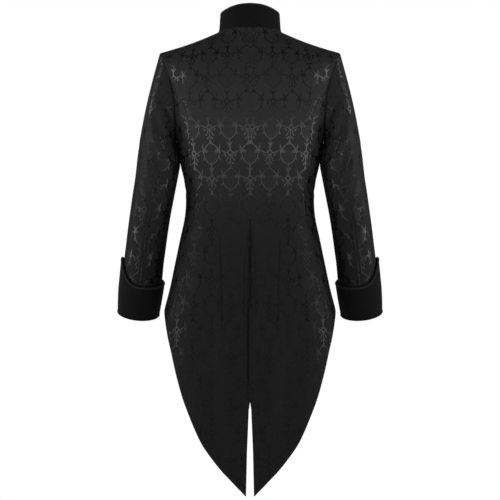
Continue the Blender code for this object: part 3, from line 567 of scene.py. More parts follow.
BACK_EDGE = float(armhole_angle(ARM_Z, False))
FRONT_JOIN = float(armhole_angle(UNDERARM_SEAM_Z, True) - SIDE_FRONT(UNDERARM_SEAM_Z))


def back_limit(z):
    """The angle of the seam between the back and the side body, and of the armhole above it."""
    near = np.clip(1 - (ARM_Z - z) / 0.012, 0.0, 1.0)
    below = SIDE_BACK(z) + (BACK_EDGE - float(SIDE_BACK(ARM_Z))) * near
    return np.where(z >= ARM_Z, BACK_EDGE, below)


def front_limit(z):
    """The angle of the seam between the side body and the forepart, and of the armhole above it."""
    z = np.asarray(z, float)
    armhole = armhole_angle(np.maximum(z, UNDERARM_SEAM_Z), True)
    return np.where(z >= UNDERARM_SEAM_Z, armhole, SIDE_FRONT(z) + FRONT_JOIN)


def neck_point(angle):
    """A point of the neckline."""
    a = np.radians(angle)
    z = NECK_Z(180.0 - np.abs(180.0 - np.abs(angle)))
    return stack(NECK_HALF * np.sin(a), NECK_Y + NECK_DEPTH * np.cos(a), z)


def shoulder_point(share):
    """A point of the shoulder seam, from the neck (0) to the armhole (1)."""
    a = neck_point(90.0)
    b = np.array(SHOULDER)
    p = a + (b - a) * np.asarray(share)[..., None]
    p[..., 2] -= SHOULDER_SAG * np.sin(math.pi * np.asarray(share))
    return p


def armhole_turn(p):
    """Where a point of the armhole lies round it, in radians: 0 on top, half pi behind."""
    high = np.where(p[..., 2] > ARM_Z, ARM_TOP - ARM_Z, ARM_Z - ARM_BOTTOM)
    return np.arctan2((p[..., 1] - ARM_Y) / ARM_HALF_Y, (p[..., 2] - ARM_Z) / high)


def armhole_normal(p):
    """The direction that body and sleeve share at their seam."""
    a = armhole_turn(p)
    return unit(stack(0.36 * (1 + np.cos(a)), np.sin(a), np.cos(a)))


def hermite(p0, p1, t0, t1, t):
    """A smooth curve from p0 to p1, with the slopes t0 and t1 at its ends."""
    ends = (1 + 2 * t) * (1 - t) ** 2 * p0 + t * (1 - t) ** 2 * t0
    return ends + t * t * (3 - 2 * t) * p1 + t * t * (t - 1) * t1


def upper_rows(angle, top, share, sign, steep, heights):
    """Rows from the neckline or shoulder seam (1) down to the armhole's middle (0)."""
    p0 = body(angle, np.full(angle.shape, ARM_Z), False)
    t0 = (p0 - body(angle, np.full(angle.shape, ARM_Z - 0.004), False)) / 0.004
    tilt = np.radians(75.0 if sign > 0 else 62.0) * steep
    rise = top[:, 2] - ARM_Z
    reach = np.abs(top[:, 1] - p0[:, 1])
    t0 = t0 * (rise * (1.0 + 0.6 * share))[:, None]
    pull = reach * 1.55 * (1 - steep) + rise * 0.95 * steep
    t1 = stack(0.0, -sign * np.cos(tilt), np.sin(tilt)) * pull[:, None]
    t = (1 - (1 - np.asarray(heights)) ** 1.25)[:, None, None]
    return hermite(p0[None], top[None], t0[None], t1[None], t)


def lines(length, step, first=True, last=True, at=(0.0, 0.0013, 0.0028, 0.0052, 0.0080)):
    """Places from 0 to 1 with more of them beside the ends, where the cloth turns in."""
    ends = np.array(at) / length
    count = max(4, int(round((1 - 2 * ends[-1]) * length / step)))
    inner = np.linspace(ends[-1] if first else 0.0, 1 - ends[-1] if last else 1.0, count + 1)
    parts = [inner]
    if first:
        parts.insert(0, ends[:-1])
    if last:
        parts.append(1 - ends[:-1][::-1])
    return np.concatenate(parts)


def relax(points, last_row, rounds):
    """Evens out a grid's inner rows above last_row, and leaves its edges."""
    weight = np.clip((last_row - np.arange(points.shape[0])) / 8.0, 0.0, 1.0)[1:-1, None, None]
    for _ in range(rounds):
        middle = points[1:-1, 1:-1]
        mean = 0.25 * (points[:-2, 1:-1] + points[2:, 1:-1] + points[1:-1, :-2] + points[1:-1, 2:])
        points[1:-1, 1:-1] = middle + 0.5 * weight * (mean - middle)
    return points


def grid_normals(points, inside, closed=False):
    """Normals of a grid, turned away from the points inside."""
    if closed:
        du = np.roll(points, -1, axis=1) - np.roll(points, 1, axis=1)
    else:
        du = np.gradient(points, axis=1)
    dv = np.gradient(points, axis=0)
    n = unit(np.cross(du, dv))
    if np.mean(np.sum(n * unit(points - inside), axis=2)) < 0:
        n = -n
    return n


def edge_distance(points, sides):
    """Metres along the grid from each place to the nearest of the named edges."""
    left = row_lengths(points)
    top = column_lengths(points)
    far = {"left": left, "right": left[:, -1:] - left, "top": top, "bottom": top[-1:] - top}
    return np.minimum.reduce([far[name] for name in sides])


def part_seams(points, sides):
    """Carries the named edges a hair over the seam, so that no light comes through it."""
    out = points.copy()
    if "left" in sides:
        out[:, 0] -= unit(points[:, 1] - points[:, 0]) * SEAM_LAP
    if "right" in sides:
        out[:, -1] -= unit(points[:, -2] - points[:, -1]) * SEAM_LAP
    if "top" in sides:
        out[0] -= unit(points[1] - points[0]) * SEAM_LAP
    return out


def flip(points, side):
    """Mirrors points or normals to the wearer's right when side is -1."""
    return points * np.array((side, 1.0, 1.0))


def quads(a, b, c, d):
    """Faces from arrays of their four corners."""
    return np.stack([a, b, c, d], axis=-1).reshape(-1, 4)


def wall_faces(rows, cols, closed):
    """Faces of a grid's outer side, inner side and rims, their places in the UV sheet and their slots."""
    half = rows * cols
    spans = cols if closed else cols - 1

    def at(j, i):
        return j * cols + i % cols

    def mark(j, i):
        return j * (cols + 1) + i

    j, i = np.meshgrid(np.arange(rows - 1), np.arange(spans), indexing="ij")
    face = quads(at(j, i), at(j, i + 1), at(j + 1, i + 1), at(j + 1, i))
    spot = quads(mark(j, i), mark(j, i + 1), mark(j + 1, i + 1), mark(j + 1, i))
    faces = [face, face[:, ::-1] + half]
    spots = [spot, spot[:, ::-1]]
    down = np.arange(rows - 1)
    along = np.arange(spans)
    rims = [(0, along, 0, along + 1, -1), (rows - 1, along, rows - 1, along + 1, 1)]
    if not closed:
        rims += [(down, 0, down + 1, 0, 1), (down, cols - 1, down + 1, cols - 1, -1)]
    for j0, i0, j1, i1, order in rims:
        rim = quads(at(j0, i0), at(j1, i1), at(j1, i1) + half, at(j0, i0) + half)
        spot = quads(mark(j0, i0), mark(j1, i1), mark(j1, i1), mark(j0, i0))
        faces.append(rim[:, ::order])
        spots.append(spot[:, ::order])
    faces = np.concatenate(faces)
    slots = np.zeros(len(faces), int)
    slots[len(face) : 2 * len(face)] = 1
    return faces, np.concatenate(spots), slots


def add_object(name, data):
    """An object in the scene from its mesh, light or camera."""
    thing = bpy.data.objects.new(name, data)
    bpy.context.scene.collection.objects.link(thing)
    return thing


def shell(name, outer, normals, wall, cloth, panel, looks, closed=False):
    """A thin closed wall from a grid of outer points.

    cloth is each place's spot in the damask's repeat, panel its spot on the piece, across and down in
    metres. looks are the face's and the reverse's materials."""
    rows, cols = outer.shape[:2]
    inner = outer - normals * wall
    points = np.concatenate([outer.reshape(-1, 3), inner.reshape(-1, 3)])
    faces, spots, slots = wall_faces(rows, cols, closed)
    a, b, c, d = (points[faces[:, q]] for q in range(4))
    volume = np.einsum("ij,ij->i", a, np.cross(b, c)).sum() + np.einsum("ij,ij->i", a, np.cross(c, d)).sum()
    if volume < 0:
        faces = faces[:, ::-1]
        spots = spots[:, ::-1]
    mesh = bpy.data.meshes.new(name)
    mesh.vertices.add(len(points))
    mesh.vertices.foreach_set("co", points.astype(np.float32).ravel())
    mesh.loops.add(faces.size)
    mesh.loops.foreach_set("vertex_index", faces.astype(np.int32).ravel())
    mesh.polygons.add(len(faces))
    mesh.polygons.foreach_set("loop_start", np.arange(0, faces.size, 4, dtype=np.int32))
    mesh.polygons.foreach_set("material_index", slots.astype(np.int32))
    mesh.update(calc_edges=True)
    mesh.validate()
    for title, pair in (("cloth", cloth), ("panel", panel)):
        if pair[0].shape[1] == cols:
            pair = [np.concatenate([part, part[:, -1:]], axis=1) for part in pair]
        sheet = np.stack(pair, axis=-1).reshape(-1, 2)
        layer = mesh.uv_layers.new(name=title)
        layer.data.foreach_set("uv", sheet[spots.ravel()].astype(np.float32).ravel())
    mesh.shade_smooth()
    mesh.set_sharp_from_angle(angle=math.radians(50))
    for look in looks:
        mesh.materials.append(look)
    return add_object(name, mesh)


class Value:
    """A number that differs over one material. Its sums make Math nodes."""

    def __init__(self, tree, socket):
        self.tree = tree
        self.socket = socket

    def math(self, kind, *others):
        """A Math node of this value and others, which may be plain numbers."""
        node = self.tree.nodes.new("ShaderNodeMath")
        node.operation = kind
        for place, value in zip(node.inputs, (self, *others)):
            set_socket(self.tree, place, value)
        return Value(self.tree, node.outputs[0])

    def __add__(self, other):
        return self.math("ADD", other)

    def __sub__(self, other):
        return self.math("SUBTRACT", other)

    def __mul__(self, other):
        return self.math("MULTIPLY", other)

    def __neg__(self):
        return self.math("MULTIPLY", -1.0)

    def __abs__(self):
        return self.math("ABSOLUTE")

    def lowest(self, other):
        return self.math("MINIMUM", other)

    def highest(self, other):
        return self.math("MAXIMUM", other)

    def share(self):
        """The value, held between 0 and 1."""
        return self.highest(0.0).lowest(1.0)

    def rest(self):
        """What the value lacks to 1."""
        return -self + 1.0

    def ramp(self, low, high):
        """0 below low, 1 above high, soft between."""
        node = self.tree.nodes.new("ShaderNodeMapRange")
        node.interpolation_type = "SMOOTHSTEP"
        set_sockets(self.tree, node, {"Value": self, "From Min": low, "From Max": high})
        return Value(self.tree, node.outputs["Result"])

    def between(self, low, high):
        """Runs from low to high as the value runs from 0 to 1."""
        node = add_node(self.tree, "MapRange", {"Value": self, "To Min": low, "To Max": high})
        return Value(self.tree, node.outputs["Result"])


def set_socket(tree, place, value):
    """Sets one socket to a number or colour, or links a value or another socket to it."""
    if isinstance(value, Value):
        tree.links.new(value.socket, place)
    elif isinstance(value, bpy.types.NodeSocket):
        tree.links.new(value, place)
    else:
        place.default_value = (*value, 1.0) if isinstance(value, tuple) else value


def set_sockets(tree, node, values):
    for key, value in values.items():
        set_socket(tree, node.inputs[key], value)


def add_node(tree, kind, values):
    """A shader node with its sockets set."""
    node = tree.nodes.new(f"ShaderNode{kind}")
    set_sockets(tree, node, values)
    return node


def add_noise(tree, values):
    return Value(tree, add_node(tree, "TexNoise", values).outputs["Fac"])


def add_bump(tree, shader, height, strength, distance):
    """Raises a shader's surface by a value. distance is in metres."""
    bump = add_node(tree, "Bump", {"Strength": strength, "Distance": distance, "Height": height})
    tree.links.new(bump.outputs["Normal"], shader.inputs["Normal"])


def sheet_place(tree, layer):
    """A UV sheet's socket, and the places across and down in metres."""
    place = tree.nodes.new("ShaderNodeUVMap")
    place.uv_map = layer
    parts = add_node(tree, "SeparateXYZ", {"Vector": place.outputs["UV"]})
    return place.outputs["UV"], Value(tree, parts.outputs["X"]), Value(tree, parts.outputs["Y"])


def length(a, b):
    return (a * a + b * b).math("SQRT")


def stroke(x, y, f):
    """A stroke from one point to another, with its width at each. Below 0 is inside, as in each part."""
    dx = f["x2"] - f["x1"]
    dy = f["y2"] - f["y1"]
    size = dx * dx + dy * dy
    px = x - f["x1"]
    py = y - f["y1"]
    t = (px * (dx / size) + py * (dy / size)).share()
    return length(px - t * dx, py - t * dy) - (t * ((f["w2"] - f["w1"]) * 0.5) + f["w1"] * 0.5)


def oval(x, y, f):
    s = math.sin(math.radians(f["turn"]))
    c = math.cos(math.radians(f["turn"]))
    px = x - f["x"]
    py = y - f["y"]
    u = px * (c / f["across"]) + py * (s / f["across"])
    v = py * (c / f["along"]) - px * (s / f["along"])
    return (length(u, v) - 1.0) * f["across"]


def hoop(x, y, f):
    return abs(length(x - f["x"], y - f["y"]) - f["radius"]) - f["half_stroke"]


def flare(x, y, f):
    """A stem that widens to one end, with a notch in that end."""
    way = f["wide_y"] - f["narrow_y"]
    t = (y * (1 / way) - f["narrow_y"] / way).share()
    half = t.math("POWER", 1.7) * (f["wide"] - f["narrow"]) + f["narrow"]
    end = x * (-f["notch"] / f["wide"]) + f["notch"]
    sign = 1.0 if way > 0 else -1.0
    wide_end = y * sign - sign * f["wide_y"] + end
    stem_end = y * -sign + sign * f["stem_y"]
    return (x - half).highest(wide_end.highest(stem_end))


def rosette(x, y):
    """Two wavy rings and a dot."""
    r = length(x, y)
    turn = x.math("ARCTAN2", y) * ROSETTE["waves"]
    petals = abs(turn.math("SINE")) * ROSETTE["outer_wave"] + ROSETTE["outer"]
    scales = abs(turn.math("COSINE")) * ROSETTE["inner_wave"] + ROSETTE["inner"]
    outer = abs(r - petals) - ROSETTE["outer_half"]
    inner = abs(r - scales) - ROSETTE["inner_half"]
    return outer.lowest(inner.lowest(r - ROSETTE["dot"]))


def figure(across, down):
    """The damask's figure: 1 inside it, 0 on the ground. Columns stand half a repeat apart in height."""
    x = across * 1000.0
    column = (x * (1 / COLUMN_STEP) + 0.5).math("FLOOR")
    x = abs(x - column * COLUMN_STEP)
    odd = column.math("FLOORED_MODULO", 2.0)
    y = (down * 1000.0 + odd * (REPEAT / 2)).math("FLOORED_MODULO", REPEAT)
    nearest = None
    for shape, table in ((stroke, STROKES), (oval, OVALS), (hoop, RINGS), (flare, FLARES)):
        for f in rows_of(table):
            part = shape(x, y, f)
            nearest = part if nearest is None else nearest.lowest(part)
    strong = (-nearest).ramp(-1.30, 0.05)
    faint = (-rosette(x, y - ROSETTE["y"])).ramp(-1.05, 0.25)
    return strong.highest(faint * ROSETTE["strength"])


def new_look(name):
    """A material, its node tree and its shader."""
    look = bpy.data.materials.new(name)
    look.use_nodes = True
    tree = look.node_tree
    return look, tree, tree.nodes["Principled BSDF"]


def mix_colour(tree, share, low, high):
    node = tree.nodes.new("ShaderNodeMix")
    node.data_type = "RGBA"
    set_sockets(tree, node, {"Factor": share, "A": low, "B": high})
    return node.outputs["Result"]


def painted_back_shade(tree, side):
    """How much painted shade lies on a back panel at a place, along its darts and centre seam, in the fold
    over the vent and beside the vent's edge: 1 is darkest.
    """
    across, down = sheet_place(tree, "panel")[1:]
    x = across * 1000.0
    y = down * 1000.0
    darkest = None
    for f in rows_of(BACK_SHADE_LINES):
        if f["panel"] * side < 0:
            continue
        line = {"x1": f["round1"] * 1000, "x2": f["round2"] * 1000, "w1": f["width1"], "w2": f["width2"]}
        line["y1"] = float(down_length(f["z1"])) * 1000
        line["y2"] = float(down_length(f["z2"])) * 1000
        shade = (-stroke(x, y, line)).ramp(-f["blur"], 0.3) * f["dark"]
        darkest = shade if darkest is None else darkest.highest(shade)
    return darkest


def damask_look(name, back=0):
    """A satin figure on a twilled ground, with painted shade on the backs' darts, seam, fold and vent edge.
    back is 1 for the left back, -1 for the right one, else 0.
    """
    look, tree, shader = new_look(name)
    place, across, down = sheet_place(tree, "cloth")
    mask = figure(across, down)
    thread = ((across + down) * (2 * math.pi / THREAD)).math("SINE")
    slub = add_noise(tree, {"Scale": 260.0, "Detail": 3.0, "Vector": place})
    height = thread * mask.rest() * 0.16 + mask * 0.45 + slub * 0.5
    add_bump(tree, shader, height, 0.5, 0.00035)
    colour = mix_colour(tree, mask, GROUND_COLOUR, FIGURE_COLOUR)
    level = mask.between(0.10, 0.68)
    if back:
        # Painted shade on the backs: darker colour and less reflection along the darts and seam, in the fold
        # over the vent and beside its edge.
        shade = painted_back_shade(tree, back)
        colour = mix_colour(tree, shade, colour, PAINTED_SHADE_COLOUR)
        level = level * (shade * -0.85 + 1.0)
    rough = mask.between(0.68, 0.27)
    set_sockets(tree, shader, {"Base Color": colour, "Roughness": rough, "Specular IOR Level": level})
    return look


def reverse_look(name):
    """The cloth's plain back, inside the garment."""
    look, tree, shader = new_look(name)
    add_bump(tree, shader, add_noise(tree, {"Scale": 420.0}), 0.3, 0.0003)
    set_sockets(tree, shader, {"Base Color": REVERSE_COLOUR, "Roughness": 0.55, "Specular IOR Level": 0.3})
    return look


def velvet_look(name, colour, edge_highlight_colour):
    """Short pile with a brushed sheen, with a painted highlight on its turned edge and painted shade in the
    groove below it.
    """
    look, tree, shader = new_look(name)
    place = sheet_place(tree, "cloth")[0]
    pile = add_noise(tree, {"Scale": 900.0, "Detail": 2.0, "Vector": place})
    nap = add_noise(tree, {"Scale": 22.0, "Detail": 2.0, "Vector": place})
    add_bump(tree, shader, pile, 0.5, 0.0006)
    below = sheet_place(tree, "panel")[2] * 1000.0
    # Painted highlight: a lighter colour and more sheen on the turned edge, where it catches the light.
    # Painted shade: less sheen in the groove below it.
    edge = below.ramp(2.6, 4.6).rest()
    groove = abs(below - 6.2).ramp(0.4, 2.2).rest()
    weight = (nap.between(0.20, 0.48) + edge * 0.9) * (groove * -0.7 + 1.0)
    values = {"Base Color": mix_colour(tree, edge, colour, edge_highlight_colour), "Roughness": 0.9}
    values.update({"Specular IOR Level": 0.1, "Sheen Weight": weight.lowest(1.0), "Sheen Roughness": 0.35})
    values["Sheen Tint"] = (0.5, 0.5, 0.52)
    set_sockets(tree, shader, values)
    return look


def button_look(name):
    """Polished black, with a fine grain in its gloss."""
    look, tree, shader = new_look(name)
    rough = add_noise(tree, {"Scale": 600.0}).between(0.22, 0.38)
    set_sockets(tree, shader, {"Base Color": BUTTON_COLOUR, "Roughness": rough})
    return look


REVERSE = reverse_look("cloth_reverse")
PANEL_CUTS = {}


def finish_piece(thing, node, flat, area):
    """Ties a sheet to the body, hides the solid that it dresses, and states its flat size."""
    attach(thing, "root")
    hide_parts(node)
    PANEL_CUTS[thing.name] = [round(flat[0], 3), round(flat[1], 3), round(area, 4)]


def face_area(points):
    """The area of a grid's faces."""
    a = points[:-1, :-1]
    b = points[:-1, 1:]
    c = points[1:, 1:]
    d = points[1:, :-1]
    one = np.linalg.norm(np.cross(b - a, c - a), axis=2)
    two = np.linalg.norm(np.cross(c - a, d - a), axis=2)
    return float((one + two).sum() / 2)


def cut_of(across, down, points):
    """The flat rectangle that a piece is cut from, and its own area."""
    wide = float(across.max() - across.min())
    long = float(down.max() - down.min())
    return (wide, long), min(face_area(points), 0.999 * wide * long)


def axis_of(points):
    """Points inside the body, a little below each point of a panel."""
    return stack(0.0, -0.005, points[..., 2] - 0.02)


def back_angle(share, z, side):
    """A back column's angle at a height, with its vent edge below the vent's top."""
    edge_x = VENT_UNDER(z) if side > 0 else -VENT_OVER(z)
    edge = np.degrees(np.arcsin(np.clip(edge_x / HALF_WIDTH(z), -0.4, 0.4)))
    edge = np.where(z >= VENT_TOP, 0.0, edge)
    return edge + (back_limit(z) - edge) * share


def hem_height(angle_at, count):
    """Where each column meets the hem. angle_at gives the columns' angles at their heights."""
    return solve(lambda z: HEM_Z(angle_at(z)) - z, np.full(count, -1.19), np.full(count, -0.36))


def lower_rows(angle_at, count, length):
    """Heights of a panel's rows from below ROWS_Z down to the hem."""
    hem = hem_height(angle_at, count)
    down = 1 - lines(length, 0.0048, last=False)[::-1]
    return ROWS_Z + (hem - ROWS_Z) * down[1:, None]


def upper_measures(points, upper):
    """Metres across from the first column, and up from row upper, for the rows above it."""
    across = row_lengths(points[: upper + 1])
    rise = np.linalg.norm(np.diff(points[: upper + 1], axis=0), axis=2)
    return across[:upper], -np.cumsum(rise[::-1], axis=0)[::-1]


def pair_offset(z):
    """The figure's shift at the centre back, where the two halves of a column stand apart."""
    return PAIR_OFFSET * smooth((z + 0.335) / 0.135)


def back_panel(side):
    """A back: points, normals, metres across and down, place in the damask, last row at the armhole."""
    shares = lines(0.20, 0.0042)
    heights = lines(0.155, 0.0046, last=False)
    upper = len(heights) - 1
    neck = shares <= BACK_NECK["share"][-1]
    neck_angle = np.where(neck, BACK_NECK_ANGLE(shares), 90.0)
    out = np.clip(BACK_SHOULDER_OUT(shares), 0.0, 1.0)
    top = np.where(neck[:, None], neck_point(neck_angle), shoulder_point(np.where(neck, 0.0, out)))
    steep = np.where(neck, np.maximum(0.0, 1 - (neck_angle / 90.0) ** 1.5), 0.0)
    above = upper_rows(shares * BACK_EDGE, top, shares, 1, steep, 1 - heights)[:-1]
    z = np.linspace(ARM_Z, ROWS_Z, 36)[:, None] * np.ones(len(shares))
    z = np.concatenate([z, lower_rows(lambda q: back_angle(shares, q, side), len(shares), 0.80)])
    angle = back_angle(shares, z, side)
    below = body(angle, z)
    if side > 0:
        inset = VENT_INSET(z) * np.where(z < ROWS_Z, 1.0, 0.0) * window(shares / 0.3)
        below = below - ring_normal(angle, z) * inset[..., None]
    points = relax(np.concatenate([above, below]), upper, 26)
    up_across, up_down = upper_measures(points, upper)
    across = np.concatenate([up_across, round_from_back(angle, z)])
    down = np.concatenate([up_down, down_length(z)])
    height = np.concatenate([np.full(above.shape[:2], ARM_Z), z])
    place = (across - pair_offset(height), down - float(down_length(BACK_FIGURE_Z)))
    normals = grid_normals(points, axis_of(points))
    normals[:, 0, 0] = 0.0
    return points, unit(normals), (across, down), place, upper


def side_panel():
    """A side body, whose upper edge is the armhole's underside. Returns the same, without the row."""
    shares = lines(0.16, 0.0044)
    v = lines(0.145, 0.0046, last=False)[:, None]
    u = shares[None, :, None]
    left_z = MIDDLE_Z(v * 7.0)
    left = np.stack([back_limit(left_z), left_z], axis=-1)
    right_z = UNDERARM_SEAM_Z + (ROWS_Z - UNDERARM_SEAM_Z) * v
    right = np.stack([front_limit(right_z), right_z], axis=-1)
    end = math.asin((ARM_Z - UNDERARM_SEAM_Z) / (ARM_Z - ARM_BOTTOM))
    a = shares * (math.pi - end)
    top_z = ARM_Z - (ARM_Z - ARM_BOTTOM) * np.sin(a)
    want = ARM_Y + ARM_HALF_Y * np.cos(a)
    top_angle = solve(lambda g: ring(g, top_z)[..., 1] - want, np.full(len(a), 40.0), np.full(len(a), 150.0))
    top = np.stack([top_angle, top_z], axis=-1)[None]
    bottom = left[-1:] + (right[-1:] - left[-1:]) * u
    v = v[..., None]
    edge = (1 - v) * top + v * bottom + (1 - u) * left + u * right
    corner = (1 - u) * ((1 - v) * left[:1] + v * left[-1:]) + u * ((1 - v) * right[:1] + v * right[-1:])
    spots = edge - corner

    def angle_at(z):
        return back_limit(z) + (front_limit(z) - back_limit(z)) * shares

    low_z = lower_rows(angle_at, len(shares), 0.45)
    angle = np.concatenate([spots[..., 0], angle_at(low_z)])
    z = np.concatenate([spots[..., 1], low_z])
    points = body(angle, z)
    middle = 0.5 * (back_limit(z) + 110.0)
    across = round_from_back(angle, z) - round_from_back(middle, z)
    down = down_length(z)
    place = (across + HALF_COLUMN, down - float(down_length(SIDE_FIGURE_Z)))
    return points, grid_normals(points, axis_of(points)), (across, down), place


def front_angle(share, z):
    """A forepart column's angle. Shares: 1 where the other forepart ends, 1.5 centre front, 2 the edge."""
    limit = front_limit(z)
    lap = np.degrees(LAP / HALF_WIDTH(z)) * 0.9
    plain = limit + (180.0 - lap - limit) * np.minimum(share, 1.0)
    return np.where(share > 1.0, 180.0 + (share - 1.5) * 2 * lap, plain)


def lap_lift(share, side):
    """How far the left forepart lies out over the right one."""
    if side < 0:
        return np.zeros(np.shape(share))
    return LAP_LIFT * smooth((np.asarray(share) - 0.66) / 0.30)


def front_panel(side):
    """A forepart, with the cloth that laps over or under the other one. Returns the same as a back."""
    lap = math.degrees(math.asin(LAP / NECK_HALF))
    shoulder = lines(0.150, 0.0052, last=False) * SHOULDER_SHARE
    neck = SHOULDER_SHARE + FRONT_NECK_SHARE * np.linspace(0.0, 1.0, 27)[1:]
    over = np.array((1.12, 1.25, 1.38, 1.5, 1.62, 1.74, 1.84, 1.91, 1.955, 1.98, 2.0))
    shares = np.concatenate([shoulder, neck, over])
    neck_angles = 90.0 + (neck - SHOULDER_SHARE) / FRONT_NECK_SHARE * (90.0 - lap)
    over_angles = 180.0 - lap + (over - 1.0) * 2 * lap
    neck_angles = np.concatenate([neck_angles, over_angles])
    top = np.concatenate([shoulder_point(1 - shoulder / SHOULDER_SHARE), neck_point(neck_angles)])
    slope = ((90.0 - np.abs(180.0 - neck_angles)) / 90.0) ** 0.8
    steep = np.concatenate([np.zeros(len(shoulder)), slope])
    heights = lines(0.155, 0.0050, last=False)
    upper = len(heights) - 1
    at_arm = front_angle(shares, np.full(len(shares), ARM_Z))
    above = upper_rows(at_arm, top, np.maximum(0.0, 1 - shares), -1, steep, 1 - heights)[:-1]
    arm_z = np.linspace(ARM_Z, UNDERARM_SEAM_Z, 19)
    seam_z = np.linspace(UNDERARM_SEAM_Z, ROWS_Z, 15)[1:]
    z = np.concatenate([arm_z, seam_z])[:, None] * np.ones(len(shares))
    z = np.concatenate([z, lower_rows(lambda q: front_angle(shares, q), len(shares), 0.32)])
    angle = front_angle(shares, z)
    points = relax(np.concatenate([above, body(angle, z)]), upper, 22)
    up_across, up_down = upper_measures(points, upper)
    centre = int(np.argmin(np.abs(shares - 1.5)))
    from_centre = round_from_back(np.full(z.shape, 180.0), z) - round_from_back(angle, z)
    across = np.concatenate([up_across[:, centre : centre + 1] - up_across, from_centre])
    down = np.concatenate([up_down, down_length(z)])
    normals = grid_normals(points, axis_of(points))
    points = points + normals * lap_lift(shares, side)[None, :, None]
    return points, normals, (across, down), (across, down - 0.05), upper + len(arm_z) - 1


def sleeve_point(angle, z, grow=0.0):
    """A point of the plain sleeve below its cap, on a tilted oval."""
    f = np.radians(SLEEVE_FORWARD(z))
    o = np.radians(SLEEVE_OUT(z))
    out = stack(np.cos(o), 0.0, np.sin(o))
    back = stack(0.0, np.cos(f), -np.sin(f))
    back = unit(back - out * np.sum(back * out, axis=-1, keepdims=True))
    a = np.radians(angle)
    wide = (SLEEVE_WIDTH(z) + grow) * np.cos(a)
    deep = (SLEEVE_DEPTH(z) + grow) * np.sin(a)
    centre = stack(SLEEVE_X(z), SLEEVE_Y(z), z)
    return centre + out * np.asarray(wide)[..., None] + back * np.asarray(deep)[..., None]


def sleeve_start(angle):
    """The way the sleeve leaves the armhole."""
    s = np.sin(np.radians(angle))
    c = np.cos(np.radians(angle))
    dx = 0.27 + 0.52 * s * s - 0.055 * (1 - c)
    dy = 0.25 * s
    return stack(dx, dy, -np.sqrt(np.maximum(0.05, 1 - dx * dx - dy * dy)))


def sleeve_fold(angle, z):
    """How far the sleeve's large folds lift the cloth."""
    total = 0.0
    for f in rows_of(SLEEVE_FOLDS):
        turned = angle - f["angle"]
        wide = window(turned / f["half_angle"])
        total = total + f["depth"] * wide * window((z - f["z"] - f["slant"] * turned) / f["half_z"])
    return total


def sleeve_angles():
    """Places round the sleeve, with more of them beside the hind and the fore seam."""
    under = HIND_SEAM + (FORE_SEAM - HIND_SEAM) * lines(0.155, 0.0042)
    top = FORE_SEAM + (360.0 + HIND_SEAM - FORE_SEAM) * lines(0.225, 0.0046)
    return np.concatenate([under, top[1:-1]]), len(under)


def sleeve_grid(armhole):
    """The whole sleeve: points, normals, the under sleeve's count of columns, and the cap's last row."""
    angles, under = sleeve_angles()
    known = np.degrees(armhole_turn(armhole)) % 360.0
    order = np.argsort(known)
    known = known[order]
    spots = armhole[order]
    known = np.concatenate([known[-3:] - 360.0, known, known[:3] + 360.0])
    spots = np.concatenate([spots[-3:], spots, spots[:3]])
    wrapped = angles % 360.0
    start = np.stack([np.interp(wrapped, known, spots[:, q]) for q in range(3)], axis=-1)
    facing = armhole_normal(start)
    tangent = unit(np.roll(start, -1, axis=0) - np.roll(start, 1, axis=0))
    outward = unit(np.cross(facing, tangent))
    outward *= np.where(outward[:, :1] < 0, -1.0, 1.0)
    start = start + outward * 2 * SEAM_HALF
    top_z = SLEEVE["z"][0]
    end = sleeve_point(wrapped, np.full(len(wrapped), top_z))
    way = unit(sleeve_point(wrapped, np.full(len(wrapped), top_z - 0.004)) - end)
    chord = np.linalg.norm(end - start, axis=1)[:, None]
    t = lines(0.26, 0.0046, last=False)[:, None, None]
    cap = hermite(start[None], end[None], (sleeve_start(wrapped) * chord)[None], (way * chord)[None], t)
    low = np.linspace(top_z, SLEEVE["z"][-1], 86)[1:]
    tube = sleeve_point(wrapped[None, :], low[:, None] * np.ones(len(wrapped)))
    points = np.concatenate([cap, tube])
    mean = points.mean(axis=1, keepdims=True) * np.ones((1, len(wrapped), 1))
    normals = grid_normals(points, mean, True)
    ease = smooth(np.concatenate([t[:, 0, 0] * 4.0, np.ones(len(low))]))[:, None]
    z = points[..., 2]
    creases = crease(SLEEVE_CREASES, wrapped[None, :], z, SLEEVE_DEGREE)
    move = (sleeve_fold(wrapped[None, :], z) + creases) * ease
    points = points + normals * move[..., None]
    normals = grid_normals(points, mean, True)
    normals[0] = facing
    return points, normals, under, len(t) - 1


def strip_measures(points, level):
    """Metres across from a strip's middle column, and down from the row called level."""
    across = row_lengths(points)
    down = column_lengths(points)
    return across - 0.5 * across[:, -1:], down - down[level : level + 1]


def cuff_top(angle):
    """The height of a cuff's upper edge: high on the outside, then level at the back and inside."""
    rise = np.maximum(0.0, (np.cos(np.radians(angle)) + 0.15) / 1.15) ** 3
    return CUFF_TOP_INNER + (CUFF_TOP_OUTER - CUFF_TOP_INNER) * rise


def cuff_grid():
    """A cuff's points and normals, from the wrist up."""
    angles = np.linspace(0.0, 360.0, 97)[:-1]
    share = lines(0.115, 0.0045, at=VELVET_ROLL["from_edge"])[:, None]
    low = SLEEVE["z"][-1]
    z = low + (cuff_top(angles)[None, :] - low) * share
    points = sleeve_point(angles[None, :] * np.ones(z.shape), z, CUFF_GROW + CUFF_ROOMS(share))
    mean = points.mean(axis=1, keepdims=True) * np.ones((1, len(angles), 1))
    return points, grid_normals(points, mean, True)


